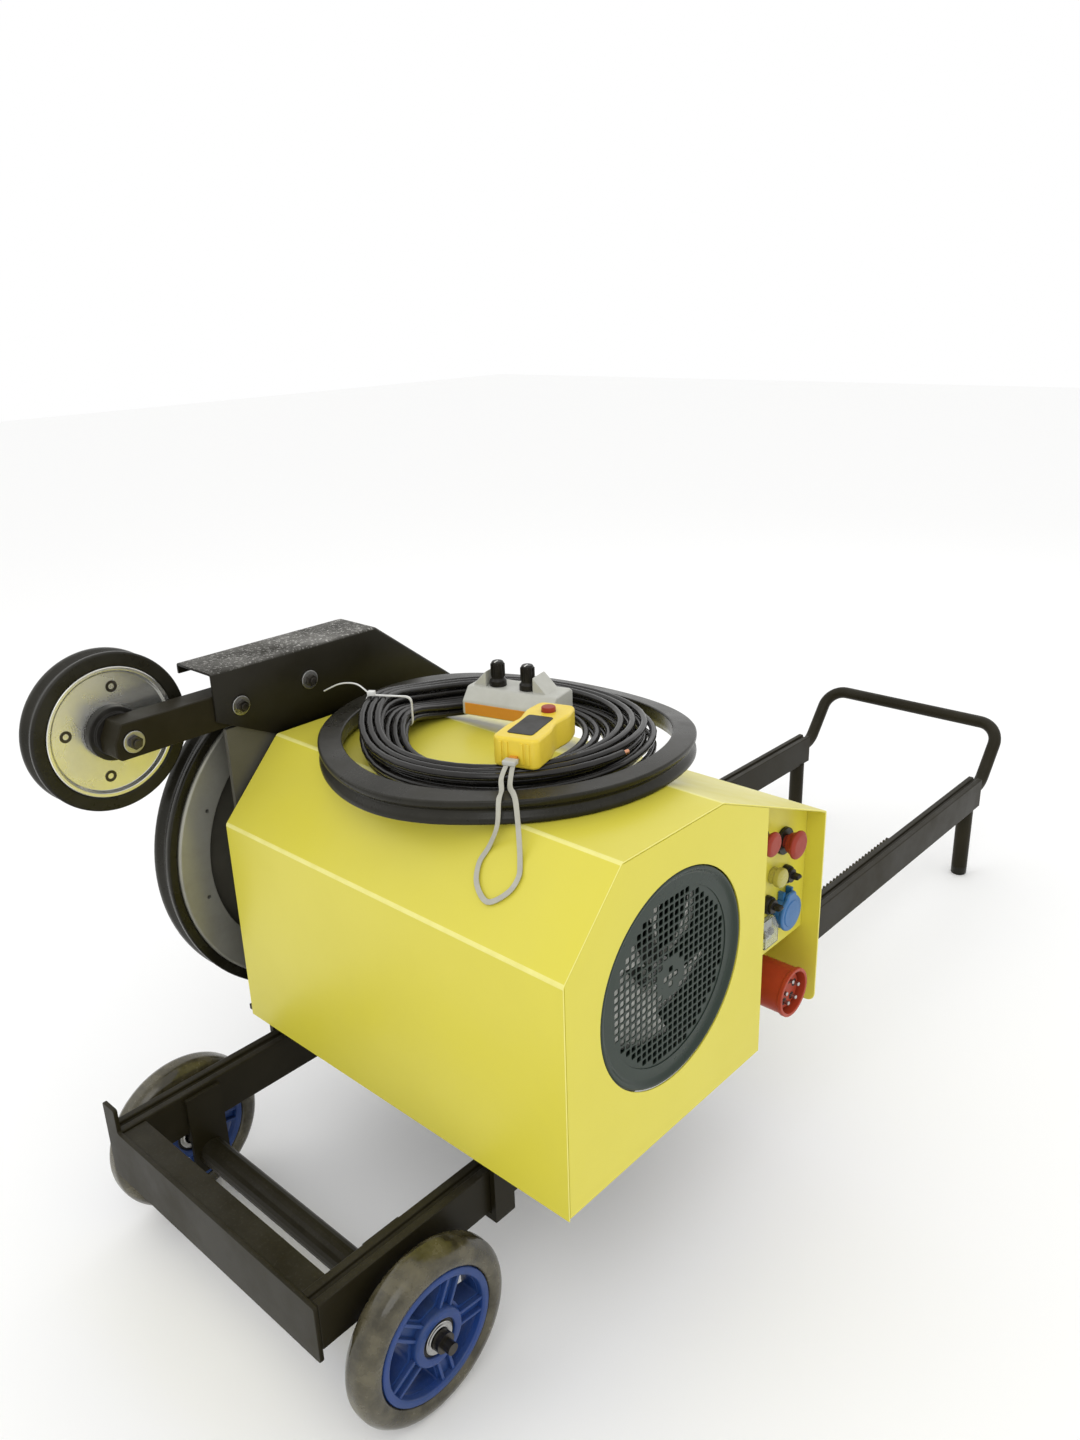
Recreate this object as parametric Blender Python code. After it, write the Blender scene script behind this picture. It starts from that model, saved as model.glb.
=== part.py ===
"""Electric wire saw on a two-wheel rail trolley, in metres, +Z up.

The carriage (hood, motor, pulleys, controls) is drawn from the hood's lower front corner at its drive end:
x runs to the fan end, y to the push handle, z up from the hood's lower edge. The trolley shares that x
and y and measures z from the floor. An empty shifts the whole machine so that its origin is the middle of
its footprint, on the floor.
"""

from math import ceil, cos, hypot, pi, radians, sin

import bmesh
import bpy
import numpy as np
from mathutils import Vector

# Clearances
SEAT = 0.0003
RUN = 0.0005

# Trolley rails with their legs, front tie and handle
RAIL_SPACING = 0.420
RAIL_WIDTH = 0.030
RAIL_HEIGHT = 0.064
RAIL_WALL = 0.004
RAIL_LENGTH = 1.798
RAIL_UNDERSIDE = 0.156
GROOVE_WIDTH = 0.008
GROOVE_DEPTH = 0.005
NEAR_RAIL_X = 0.440
RAIL_FRONT_Y = -0.233
FRONT_PLATE_THICKNESS = 0.006
FRONT_PLATE_HEIGHT = 0.080
FRONT_FLANGE_DEPTH = 0.040
END_STOP_HEIGHT = 0.036
LEG_RADIUS = 0.017
LEG_INSET = 0.033
HANDLE_RADIUS = 0.0135
HANDLE_BEND = 0.045
HANDLE_ROOT_LIFT = 0.040
HANDLE_REACH = 0.115
HANDLE_RISE = 0.110

# Axle and wheels
WHEEL_RADIUS = 0.113
WHEEL_HUB_RADIUS = 0.083
WHEEL_BOSS_RADIUS = 0.030
TYRE_WIDTH = 0.045
WHEEL_OFFSET = 0.0505
WHEEL_OPENINGS = 5
WHEEL_OPENING_EDGE = 0.004
WHEEL_RIM = 0.010
WHEEL_RIM_INSET = 0.0025
WHEEL_WEB = 0.016
AXLE_Y = -0.116
AXLE_RADIUS = 0.010
AXLE_TUBE_RADIUS = 0.0195
AXLE_BRACKET_THICKNESS = 0.006
AXLE_BRACKET_WIDTH = 0.054
AXLE_BRACKET_RISE = 0.100
AXLE_NUT_RADIUS = 0.015
AXLE_NUT_HEIGHT = 0.009
AXLE_HEAD_RADIUS = 0.013
AXLE_STUB_RADIUS = 0.0075
AXLE_STUB = 0.012

# Carriage running gear
HOOD_CLEARANCE = 0.261
FRONT_ROLLER_Y = 0.045
REAR_ROLLER_INSET = 0.046
ROLLER_RADIUS = 0.018
ROLLER_WIDTH = 0.026
ROLLER_RIB = 0.0035
ROLLER_RIB_WIDTH = 0.005
ROLLER_SHAFT_RADIUS = 0.008
BRACKET_THICKNESS = 0.008
BRACKET_WIDTH = 0.034
BRACKET_SIDE_GAP = 0.002
BRACKET_LIP = 0.012
BRACKET_LIP_HEIGHT = 0.010
YOKE_STRAP = 0.003
PLATE_THICKNESS = 0.008
PLATE_LIFT = 0.004
PLATE_START_X = -0.009
PLATE_END_INSET = 0.098

# Feed rack and pinion
GEAR_MODULE = 0.004
PINION_TEETH = 10
TOOTH_HEIGHT_SHARE = 0.8
TOOTH_WIDTH_SHARE = 0.40
TOOTH_SLOPE = 0.36
RACK_WIDTH = 0.015
RACK_DEPTH = 0.014
RACK_DROP = 0.013
PINION_Y = 0.270
PINION_OVERHANG = 0.014
FEED_BOX_LENGTH = 0.090
FEED_BOX_WIDTH = 0.080
FEED_BOX_HEIGHT = 0.078
FEED_MOTOR_RADIUS = 0.033
FEED_MOTOR_LENGTH = 0.170
TRAVEL_FORWARD = 0.060
TRAVEL_BACK = 0.900

# Hood and its end plates
HOOD_LENGTH = 0.613
HOOD_DEPTH = 0.546
HOOD_FRONT_HEIGHT = 0.308
HOOD_REAR_HEIGHT = 0.306
HOOD_TOP = 0.411
HOOD_TOP_FRONT = 0.098
HOOD_TOP_REAR = 0.290
SHEET = 0.002
ROOF_INSET = 0.0035
BAY_DEPTH = 0.153
BAY_WALL_DEPTH = 0.073
END_PLATE_THICKNESS = 0.0065
END_PLATE_FRONT = 0.026
END_PLATE_REAR_INSET = 0.006
END_PLATE_BREAK_INSET = 0.146
END_PLATE_TOP = 0.436
END_PLATE_GAP = 0.0095

# Motor, fan and cowl
MOTOR_Y = 0.197
MOTOR_Z = 0.219
MOTOR_START_X = 0.060
MOTOR_END_X = 0.440
MOTOR_CORE_RADIUS = 0.124
MOTOR_FINS = 16
FOOT_WIDTH = 0.200
FOOT_START_X = 0.090
FOOT_END_X = 0.400
SHAFT_RADIUS = 0.019
COWL_RADIUS = 0.1385
COWL_OVERLAP = 0.020
COWL_LIP = 0.0045
GRILLE_RADIUS = 0.110
GRILLE_PITCH = 0.036
GRILLE_HOLE_RADIUS = 0.017
FAN_RADIUS = 0.112
FAN_HUB_RADIUS = 0.042
FAN_BLADES = 6
FAN_GRILLE_GAP = 0.020
FAN_WIDTH = 0.045

# Drive pulley
DRIVE_RADIUS = 0.261
DRIVE_RIM_OUTER = 0.246
DRIVE_RIM_INNER = 0.197
DRIVE_NEAR_X = -0.058
DRIVE_WIDTH = 0.040
DRIVE_RIM_PROUD = 0.003
DRIVE_WEB = 0.012
DRIVE_WEB_INSET = 0.013
DRIVE_BOSS_RADIUS = 0.050
TYRE_GROOVE = 0.006

# Guide pulley and its arm
GUIDE_Y = -0.106
GUIDE_Z = 0.461
GUIDE_RADIUS = 0.106
GUIDE_DISC_RADIUS = 0.087
GUIDE_RIM = 0.008
GUIDE_NEAR_X = -0.060
GUIDE_WIDTH = 0.036
GUIDE_WEB = 0.012
GUIDE_HUB_RADIUS = 0.036
GUIDE_BUSH_RADIUS = 0.014
GUIDE_AXLE_RADIUS = 0.009
ARM_WIDTH = 0.040
ARM_HEIGHT = 0.048
ARM_OFFSET = 0.002
ARM_FRONT_Y = -0.130
ARM_REAR_Y = 0.210
ARM_CHAMFER = 0.012
WASHER_RADIUS = 0.019
WASHER_THICKNESS = 0.003
BOLT_HEAD_RADIUS = 0.011
BOLT_HEAD_HEIGHT = 0.008

# Guard over the pulleys
GUARD_NEAR_X = -0.005
GUARD_WIDTH = 0.085
GUARD_SHEET = 0.004
GUARD_FRONT_Y = 0.012
GUARD_TOP_Z = 0.520
GUARD_LOW_Z = 0.408
GUARD_NOSE_Z = 0.452
GUARD_NOSE_Y = 0.102
GUARD_BREAK_Y = 0.293
GUARD_REAR_Y = 0.440
GUARD_LIP = 0.015

# Control bay, with the controls placed by their distance behind the bay wall and their height
PANEL_RECESS = 0.028
PANEL_LOW_Z = 0.119
SHELF_DEPTH = 0.060
BEZEL_DEPTH = 0.0092
COLLAR_DEPTH = 0.006
COLLAR_INSET = 0.0005
ESTOP_PLACE = (0.087, 0.279)
ESTOP_RADIUS = 0.020
STOP_PLACE = (0.026, 0.303)
STOP_RADIUS = 0.017
STEM_RADIUS = 0.009
HEAD_TRAVEL = 0.004
ESTOP_HEAD_HEIGHT = 0.0172
STOP_HEAD_HEIGHT = 0.0147
START_PLACE = (0.064, 0.236)
START_TRAVEL = 0.003
BEZEL_RADIUS = 0.014
BUTTON_RADIUS = 0.010
SELECTOR_PLACES = ((0.095, 0.226), (0.050, 0.198))
LEVER_REACH = 0.017
LEVER_TAIL = 0.008
LEVER_WIDTH = 0.008
LEVER_HEIGHT = 0.0085
SOCKET_PLACE = (0.093, 0.170)
SOCKET_RADIUS = 0.025
SOCKET_DEPTH = 0.010
SOCKET_FLOOR = 0.002
SOCKET_BORE_RADIUS = 0.019
LID_RADIUS = 0.026
LID_THICKNESS = 0.006
LID_HINGE_RISE = 0.032
LID_TAB_WIDTH = 0.020
BREAKER_PLACE = (0.045, 0.160)
BREAKER_WIDTH = 0.034
BREAKER_HEIGHT = 0.038
BREAKER_DEPTH = 0.015
BREAKER_WALL = 0.002
INLET_PLACE = (0.091, 0.048)
INLET_RADIUS = 0.036
INLET_NECK_RADIUS = 0.030
INLET_BORE_RADIUS = 0.031
INLET_BORE_DEPTH = 0.043
INLET_FLANGE = 0.008
INLET_NECK = 0.022
PIN_RADIUS = 0.0035
PIN_LENGTH = 0.036
PIN_CIRCLE = 0.013
PIN_COUNT = 5

# Spare tyre carried on the hood
RING_X = 0.285
RING_Y = 0.269
RING_RADIUS = 0.250
RING_WIDTH = 0.0314
RING_HEIGHT = 0.030
RING_GROOVE = 0.007
FRONT_DROOP_RADIUS = 0.263
DROOP_EASE = 0.014
REAR_DROOP_RADIUS = 1.020

# Control cable, coiled inside the spare tyre
CABLE_RADIUS = 0.00475
COIL_OUTER_RADIUS = 0.1950
LOOP_PITCH = 0.0155
LOOP_PITCH_AT_TIE = 0.0102
LAYER_PITCH = 0.0102
LOOPS_IN_LAYERS = (6, 6, 3, 3)
POINTS_IN_LOOP = 24
SEAT_SAMPLES = 9
TIE_ANGLE = 210
CABLE_END_ANGLE = 0
TIE_LIFT = 0.020
TIE_WIDTH = 0.005
TIE_THICKNESS = 0.0015

# Hand controls lying on the coil
REMOTE_X = 0.249
REMOTE_Y = 0.327
REMOTE_TURN = 14
REMOTE_SETTLE = 0.0008
REMOTE_LENGTH = 0.140
REMOTE_WIDTH = 0.066
REMOTE_HEIGHT = 0.038
REMOTE_EDGE = 0.010
KNOB_RADIUS = 0.012
KNOB_HEIGHT = 0.036
KNOB_SPACING = 0.047
KNOB_OFFSET = -0.006
PENDANT_X = 0.397
PENDANT_Y = 0.206
PENDANT_TURN = 17.5
PENDANT_LENGTH = 0.130
PENDANT_WIDTH = 0.060
PENDANT_HEIGHT = 0.038
PENDANT_WAIST = 0.006
PENDANT_BUTTON_RADIUS = 0.009
PENDANT_BUTTON_HEIGHT = 0.012
PENDANT_BUTTON_TRAVEL = 0.003
PENDANT_BUTTON_Y = 0.035
STRAP_RADIUS = 0.0018
STRAP_STEPS = 2
STRAP_EXIT = (0.0035, 0.0125)
STRAP_STUB = 0.008
STRAP_POINTS = (
    (0.4400, 0.1110, 0.4485),
    (0.4560, 0.1000, 0.4455),
    (0.4690, 0.0900, 0.4400),
    (0.4810, 0.0800, 0.4130),
    (0.4920, 0.0690, 0.3850),
    (0.5000, 0.0570, 0.3725),
    (0.4960, 0.0430, 0.3580),
    (0.4760, 0.0310, 0.3450),
    (0.4510, 0.0400, 0.3550),
    (0.4400, 0.0560, 0.3715),
    (0.4430, 0.0700, 0.3875),
    (0.4535, 0.0740, 0.4150),
    (0.4520, 0.0800, 0.4440),
    (0.4420, 0.0950, 0.4475),
    (0.4250, 0.1130, 0.4530),
)

# Places worked out from the sizes
FAR_RAIL_X = NEAR_RAIL_X - RAIL_SPACING
RAIL_CENTRES = (FAR_RAIL_X, NEAR_RAIL_X)
RAIL_TOP = RAIL_UNDERSIDE + RAIL_HEIGHT
RAIL_REAR_Y = RAIL_FRONT_Y + RAIL_LENGTH
RAIL_HALF = RAIL_WIDTH / 2
LEG_Y = RAIL_REAR_Y - LEG_INSET
WHEEL_CENTRES = (FAR_RAIL_X - WHEEL_OFFSET, NEAR_RAIL_X + WHEEL_OFFSET)
ROLLER_Z = RAIL_TOP + SEAT + ROLLER_RADIUS - HOOD_CLEARANCE
PINION_RADIUS = GEAR_MODULE * PINION_TEETH / 2
TOOTH_PITCH = pi * GEAR_MODULE
ADDENDUM = GEAR_MODULE * TOOTH_HEIGHT_SHARE
PITCH_LINE_Z = RAIL_TOP - RACK_DROP - ADDENDUM
PINION_Z = PITCH_LINE_Z + PINION_RADIUS - HOOD_CLEARANCE
RACK_NEAR_X = NEAR_RAIL_X - RAIL_HALF - SEAT
FEED_BOX_X = RACK_NEAR_X - RACK_WIDTH - PINION_OVERHANG
PLATE_UNDERSIDE = PLATE_LIFT
PLATE_TOP = PLATE_LIFT + PLATE_THICKNESS
PANEL_X = HOOD_LENGTH - PANEL_RECESS
PLATE_END_X = HOOD_LENGTH - PLATE_END_INSET
REAR_ROLLER_Y = HOOD_DEPTH - REAR_ROLLER_INSET
BAY_WALL_Y = HOOD_DEPTH - BAY_DEPTH
END_PLATE_REAR = HOOD_DEPTH - END_PLATE_REAR_INSET
END_PLATE_BREAK = HOOD_DEPTH - END_PLATE_BREAK_INSET
FAN_START_X = HOOD_LENGTH - SEAT - SHEET - FAN_GRILLE_GAP - FAN_WIDTH
MOTOR_FIN_RADIUS = COWL_RADIUS - 2 * SHEET
DRIVE_FAR_X = DRIVE_NEAR_X - DRIVE_WIDTH
GUIDE_FAR_X = GUIDE_NEAR_X - GUIDE_WIDTH
ARM_NEAR_X = GUARD_NEAR_X - GUARD_SHEET - SEAT
ARM_LOW_Z = GUIDE_Z + ARM_OFFSET - ARM_HEIGHT / 2
CABLE_DIAMETER = 2 * CABLE_RADIUS
COIL_FLOOR = HOOD_TOP + SEAT + CABLE_RADIUS
HANDLE_BAR_Y = RAIL_REAR_Y + HANDLE_REACH
FRONT_Y = RAIL_FRONT_Y - SEAT - FRONT_PLATE_THICKNESS
REAR_Y = HANDLE_BAR_Y + HANDLE_RADIUS
ROOT_SHIFT = (-(DRIVE_FAR_X + HOOD_LENGTH) / 2, -(FRONT_Y + REAR_Y) / 2, 0)

AXES = {"X": (0, 1, 2), "Y": (1, 0, 2), "Z": (2, 0, 1)}


# Modelling tools

def clear_scene():
    for item in list(bpy.data.objects):
        bpy.data.objects.remove(item)


def finish_named(name, colour, roughness, metallic=0.0):
    material = bpy.data.materials.new(name)
    material.use_nodes = True
    shader = material.node_tree.nodes["Principled BSDF"]
    shader.inputs["Base Color"].default_value = (*colour, 1)
    shader.inputs["Roughness"].default_value = roughness
    shader.inputs["Metallic"].default_value = metallic
    return material


def holder(name, parent=None, place=(0, 0, 0)):
    """An empty that pieces hang from, on a joint's axis where they move."""
    item = bpy.data.objects.new(name, None)
    item.location = place
    item.parent = parent
    bpy.context.collection.objects.link(item)
    return item


def add_object(name, data, material, parent, place, turn):
    data.materials.append(material)
    piece = bpy.data.objects.new(name, data)
    piece.location = place
    piece.rotation_euler = turn
    piece.parent = parent
    bpy.context.collection.objects.link(piece)
    return piece


def piece_from(name, shape, material, parent, place=(0, 0, 0), turn=(0, 0, 0), closed=True):
    """Turns a bmesh into a named object, with its normals outwards where it is closed."""
    if closed:
        bmesh.ops.recalc_face_normals(shape, faces=shape.faces)
    mesh = bpy.data.meshes.new(name)
    shape.to_mesh(mesh)
    shape.free()
    mesh.shade_smooth()
    mesh.set_sharp_from_angle(angle=radians(35))
    return add_object(name, mesh, material, parent, place, turn)


def cut(piece, shape, operation="DIFFERENCE"):
    """Takes a shape out of a piece, or joins it on. The shape is drawn in the piece's own frame."""
    name = f"{piece.name}_{operation.lower()}_{len(piece.modifiers)}"
    finish = piece.active_material
    cutter = piece_from(name, shape, finish, piece.parent, piece.location, piece.rotation_euler)
    cutter.hide_render = True
    cutter.display_type = "WIRE"
    modifier = piece.modifiers.new(name, "BOOLEAN")
    modifier.operation = operation
    modifier.object = cutter


def point_on(axis, along, a, b):
    place = [0, 0, 0]
    first, second, third = AXES[axis]
    place[first] = along
    place[second] = a
    place[third] = b
    return Vector(place)


def prism(outline, axis, start, end):
    """An outline drawn square to an axis, drawn out along it."""
    shape = bmesh.new()
    corners = [shape.verts.new(point_on(axis, start, a, b)) for a, b in outline]
    face = shape.faces.new(corners)
    grown = bmesh.ops.extrude_face_region(shape, geom=[face])["geom"]
    moved = [item for item in grown if isinstance(item, bmesh.types.BMVert)]
    bmesh.ops.translate(shape, verts=moved, vec=point_on(axis, end - start, 0, 0))
    return shape


def box(low, high):
    outline = ((low[0], low[1]), (high[0], low[1]), (high[0], high[1]), (low[0], high[1]))
    return prism(outline, "Z", low[2], high[2])


def turned(profile, axis, steps, ring=False):
    """A profile of (along, radius) pairs spun round an axis. A ring's profile closes on itself."""
    shape = bmesh.new()
    corners = [shape.verts.new(point_on(axis, along, 0, -radius)) for along, radius in profile]
    edges = [shape.edges.new(pair) for pair in zip(corners, corners[1:])]
    if ring:
        edges.append(shape.edges.new((corners[-1], corners[0])))
    whole = point_on(axis, 1, 0, 0)
    bmesh.ops.spin(shape, geom=corners + edges, axis=whole, angle=2 * pi, steps=steps, use_merge=True)
    bmesh.ops.remove_doubles(shape, verts=shape.verts, dist=1e-6)
    bmesh.ops.recalc_face_normals(shape, faces=shape.faces)
    return shape


def rod(axis, radius, start, end, steps):
    return turned(((start, 0), (start, radius), (end, radius), (end, 0)), axis, steps)


def circle(radius, count, centre=(0, 0), turn=0.0):
    angles = [turn + 2 * pi * step / count for step in range(count)]
    return [(centre[0] + radius * cos(angle), centre[1] + radius * sin(angle)) for angle in angles]


def add(group, shape, shift=(0, 0, 0)):
    """Puts one more solid into a group."""
    bmesh.ops.translate(shape, verts=shape.verts, vec=shift)
    bmesh.ops.recalc_face_normals(shape, faces=shape.faces)
    mesh = bpy.data.meshes.new("solid")
    shape.to_mesh(mesh)
    shape.free()
    group.from_mesh(mesh)
    bpy.data.meshes.remove(mesh)


def sheet(name, panels, thickness, material, parent):
    """Folded sheet: flat panels that share corners, thickened away from the side they face."""
    shape = bmesh.new()
    corners = {}
    for panel in panels:
        for place in panel:
            if place not in corners:
                corners[place] = shape.verts.new(place)
        shape.faces.new([corners[place] for place in panel])
    piece = piece_from(name, shape, material, parent, closed=False)
    wall = piece.modifiers.new("wall", "SOLIDIFY")
    wall.thickness = thickness
    wall.offset = -1
    wall.use_even_offset = True
    return piece


def tube(name, points, radius, bevel_resolution, material, parent):
    curve = bpy.data.curves.new(name, "CURVE")
    curve.dimensions = "3D"
    curve.bevel_depth = radius
    curve.bevel_resolution = bevel_resolution
    curve.use_fill_caps = True
    spline = curve.splines.new("POLY")
    spline.points.add(len(points) - 1)
    for knot, place in zip(spline.points, points):
        knot.co = (*place, 1)
    return add_object(name, curve, material, parent, (0, 0, 0), (0, 0, 0))


def rounded_path(corners, radius, steps):
    """A path through corners, each inner corner turned on an arc."""
    path = [Vector(corners[0])]
    for before, corner, after in zip(corners, corners[1:], corners[2:]):
        corner = Vector(corner)
        back = (Vector(before) - corner).normalized()
        ahead = (Vector(after) - corner).normalized()
        half = back.angle(ahead) / 2
        reach = radius * cos(half) / sin(half)
        centre = corner + (back + ahead).normalized() * (radius / sin(half))
        first = (corner + back * reach - centre).normalized()
        last = (corner + ahead * reach - centre).normalized()
        for step in range(steps + 1):
            path.append(centre + radius * first.slerp(last, step / steps))
    path.append(Vector(corners[-1]))
    return path


def smooth_path(points, steps):
    """A smooth curve through points, with a few steps from each to the next."""
    knots = [Vector(place) for place in points]
    ends = [2 * knots[0] - knots[1], *knots, 2 * knots[-1] - knots[-2]]
    path = []
    for a, b, c, d in zip(ends, ends[1:], ends[2:], ends[3:]):
        for step in range(steps):
            t = step / steps
            bend = 2 * b + (c - a) * t + (2 * a - 5 * b + 4 * c - d) * t * t
            path.append((bend + (3 * b - a - 3 * c + d) * t ** 3) / 2)
    path.append(knots[-1])
    return path


# Trolley

def build_rail(name, centre_x, inward, material, parent):
    groove = GROOVE_WIDTH / 2
    floor = RAIL_HEIGHT - GROOVE_DEPTH
    outline = (
        (-RAIL_HALF, 0), (RAIL_HALF, 0), (RAIL_HALF, RAIL_HEIGHT), (groove, RAIL_HEIGHT),
        (groove, floor), (-groove, floor), (-groove, RAIL_HEIGHT), (-RAIL_HALF, RAIL_HEIGHT),
    )
    place = (centre_x, 0, RAIL_UNDERSIDE)
    rail = piece_from(name, prism(outline, "Y", RAIL_FRONT_Y, RAIL_REAR_Y), material, parent, place)
    half = RAIL_HALF - RAIL_WALL
    low = (-half, RAIL_FRONT_Y - RAIL_WALL, RAIL_WALL)
    cut(rail, box(low, (half, RAIL_REAR_Y + RAIL_WALL, floor - RAIL_WALL)))
    leg = rod("Z", LEG_RADIUS - SEAT, -RAIL_UNDERSIDE, RAIL_WALL / 2, 16)
    shift = (inward * (LEG_RADIUS - RAIL_HALF + SEAT), LEG_Y, 0)
    bmesh.ops.translate(leg, verts=leg.verts, vec=shift)
    cut(rail, leg, "UNION")


def build_front_crossmember(material, parent):
    low = RAIL_TOP - FRONT_PLATE_HEIGHT
    start = FAR_RAIL_X - RAIL_HALF
    end = NEAR_RAIL_X + RAIL_HALF
    stop = RAIL_TOP + END_STOP_HEIGHT
    inner = start + RAIL_WIDTH
    outline = ((start, low), (end, low), (end, RAIL_TOP), (inner, RAIL_TOP), (inner, stop), (start, stop))
    plate = prism(outline, "Y", FRONT_Y, RAIL_FRONT_Y - SEAT)
    piece = piece_from("front_crossmember", plate, material, parent)
    flange_low = (inner + SEAT, FRONT_Y + FRONT_PLATE_THICKNESS / 2, RAIL_TOP - 1.5 * FRONT_PLATE_THICKNESS)
    flange_high = (
        NEAR_RAIL_X - RAIL_HALF - SEAT,
        FRONT_Y + FRONT_FLANGE_DEPTH,
        RAIL_TOP - FRONT_PLATE_THICKNESS / 2,
    )
    cut(piece, box(flange_low, flange_high), "UNION")


def build_handle(material, parent):
    root_z = RAIL_UNDERSIDE + HANDLE_ROOT_LIFT
    bar_z = root_z + HANDLE_RISE
    start_y = RAIL_REAR_Y + SEAT
    corners = (
        (NEAR_RAIL_X, start_y, root_z),
        (NEAR_RAIL_X, start_y + 2 * HANDLE_RADIUS, root_z),
        (NEAR_RAIL_X, HANDLE_BAR_Y, bar_z),
        (FAR_RAIL_X, HANDLE_BAR_Y, bar_z),
        (FAR_RAIL_X, start_y + 2 * HANDLE_RADIUS, root_z),
        (FAR_RAIL_X, start_y, root_z),
    )
    tube("push_handle", rounded_path(corners, HANDLE_BEND, 5), HANDLE_RADIUS, 2, material, parent)


def span(a, b):
    return min(a, b), max(a, b)


def build_axle(paint, steel, parent):
    place = (0, AXLE_Y, WHEEL_RADIUS)
    half = AXLE_BRACKET_WIDTH / 2
    brackets = bmesh.new()
    tube_ends = []
    for centre_x, inward in zip(RAIL_CENTRES, (1, -1)):
        seat = centre_x + inward * (RAIL_HALF + SEAT)
        start, end = span(seat, seat + inward * AXLE_BRACKET_THICKNESS)
        add(brackets, box((start, -half, -half), (end, half, AXLE_BRACKET_RISE)))
        tube_ends.append((start + end) / 2)
    beam = piece_from("axle_beam", rod("X", AXLE_TUBE_RADIUS, *tube_ends, 20), paint, parent, place)
    cut(beam, brackets, "UNION")
    cut(beam, rod("X", AXLE_RADIUS + SEAT, FAR_RAIL_X, NEAR_RAIL_X, 16))
    hub_end = TYRE_WIDTH / 2 + SEAT
    far_end = WHEEL_CENTRES[0] - hub_end - 1.5 * AXLE_NUT_HEIGHT
    head = WHEEL_CENTRES[1] + hub_end
    near_end = head + AXLE_NUT_HEIGHT
    profile = (
        (far_end, 0), (far_end, AXLE_RADIUS), (head, AXLE_RADIUS),
        (head, AXLE_HEAD_RADIUS), (near_end, AXLE_HEAD_RADIUS), (near_end, AXLE_STUB_RADIUS),
        (near_end + AXLE_STUB, AXLE_STUB_RADIUS), (near_end + AXLE_STUB, 0),
    )
    piece_from("axle", turned(profile, "X", 16), steel, parent, place)
    seat = WHEEL_CENTRES[0] - hub_end
    nut = prism(circle(AXLE_NUT_RADIUS, 6), "X", seat - AXLE_NUT_HEIGHT, seat)
    nut_piece = piece_from("axle_nut", nut, steel, parent, place)
    cut(nut_piece, rod("X", AXLE_RADIUS + SEAT, seat - 2 * AXLE_NUT_HEIGHT, seat + AXLE_NUT_HEIGHT, 16))


def build_wheel(side, centre_x, blue, rubber, parent):
    spin = holder(f"{side}_wheel_axis", parent, (centre_x, AXLE_Y, WHEEL_RADIUS))
    half = TYRE_WIDTH / 2
    rim = half - WHEEL_RIM_INSET
    web = WHEEL_WEB / 2
    rim_inner = WHEEL_HUB_RADIUS - WHEEL_RIM
    bore = AXLE_RADIUS + RUN
    profile = (
        (-half, bore), (-half, WHEEL_BOSS_RADIUS), (-web, WHEEL_BOSS_RADIUS), (-web, rim_inner),
        (-rim, rim_inner), (-rim, WHEEL_HUB_RADIUS), (rim, WHEEL_HUB_RADIUS), (rim, rim_inner),
        (web, rim_inner), (web, WHEEL_BOSS_RADIUS), (half, WHEEL_BOSS_RADIUS), (half, bore),
    )
    hub = piece_from(f"{side}_wheel_hub", turned(profile, "X", 24, ring=True), blue, spin)
    openings = bmesh.new()
    middle = (WHEEL_BOSS_RADIUS + rim_inner) / 2
    radius = (rim_inner - WHEEL_BOSS_RADIUS) / 2 - WHEEL_OPENING_EDGE
    for number in range(WHEEL_OPENINGS):
        angle = 2 * pi * number / WHEEL_OPENINGS
        centre = (middle * cos(angle), middle * sin(angle))
        add(openings, prism(circle(radius, 8, centre, angle), "X", -half, half))
    cut(hub, openings)
    seat = WHEEL_HUB_RADIUS + SEAT
    wall = WHEEL_RADIUS - seat
    bulge = seat + 0.35 * wall
    shoulder = seat + 0.8 * wall
    tread = (
        (-rim, seat), (-half, bulge), (-0.8 * half, shoulder), (-0.3 * half, WHEEL_RADIUS),
        (0.3 * half, WHEEL_RADIUS), (0.8 * half, shoulder), (half, bulge), (rim, seat),
    )
    piece_from(f"{side}_wheel_tyre", turned(tread, "X", 24, ring=True), rubber, spin)


# Feed drive

def tooth_half_width(height):
    """Half a tooth's width at a height above the pitch line."""
    return TOOTH_PITCH * TOOTH_WIDTH_SHARE / 2 - height * TOOTH_SLOPE


def build_rack(material, parent):
    base = PITCH_LINE_Z - GEAR_MODULE
    before = ceil((TRAVEL_FORWARD + 2 * TOOTH_PITCH) / TOOTH_PITCH)
    after = ceil((TRAVEL_BACK + 2 * TOOTH_PITCH) / TOOTH_PITCH)
    outline = [(PINION_Y - (before + 0.5) * TOOTH_PITCH, base - RACK_DEPTH)]
    outline.append((PINION_Y + (after + 0.5) * TOOTH_PITCH, base - RACK_DEPTH))
    outline.append((outline[1][0], base))
    foot = tooth_half_width(-GEAR_MODULE)
    tip = tooth_half_width(ADDENDUM)
    for number in range(after, -before - 1, -1):
        centre = PINION_Y + number * TOOTH_PITCH
        outline.append((centre + foot, base))
        outline.append((centre + tip, PITCH_LINE_Z + ADDENDUM))
        outline.append((centre - tip, PITCH_LINE_Z + ADDENDUM))
        outline.append((centre - foot, base))
    outline.append((outline[0][0], base))
    piece_from("feed_rack", prism(outline, "X", RACK_NEAR_X - RACK_WIDTH, RACK_NEAR_X), material, parent)


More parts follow.
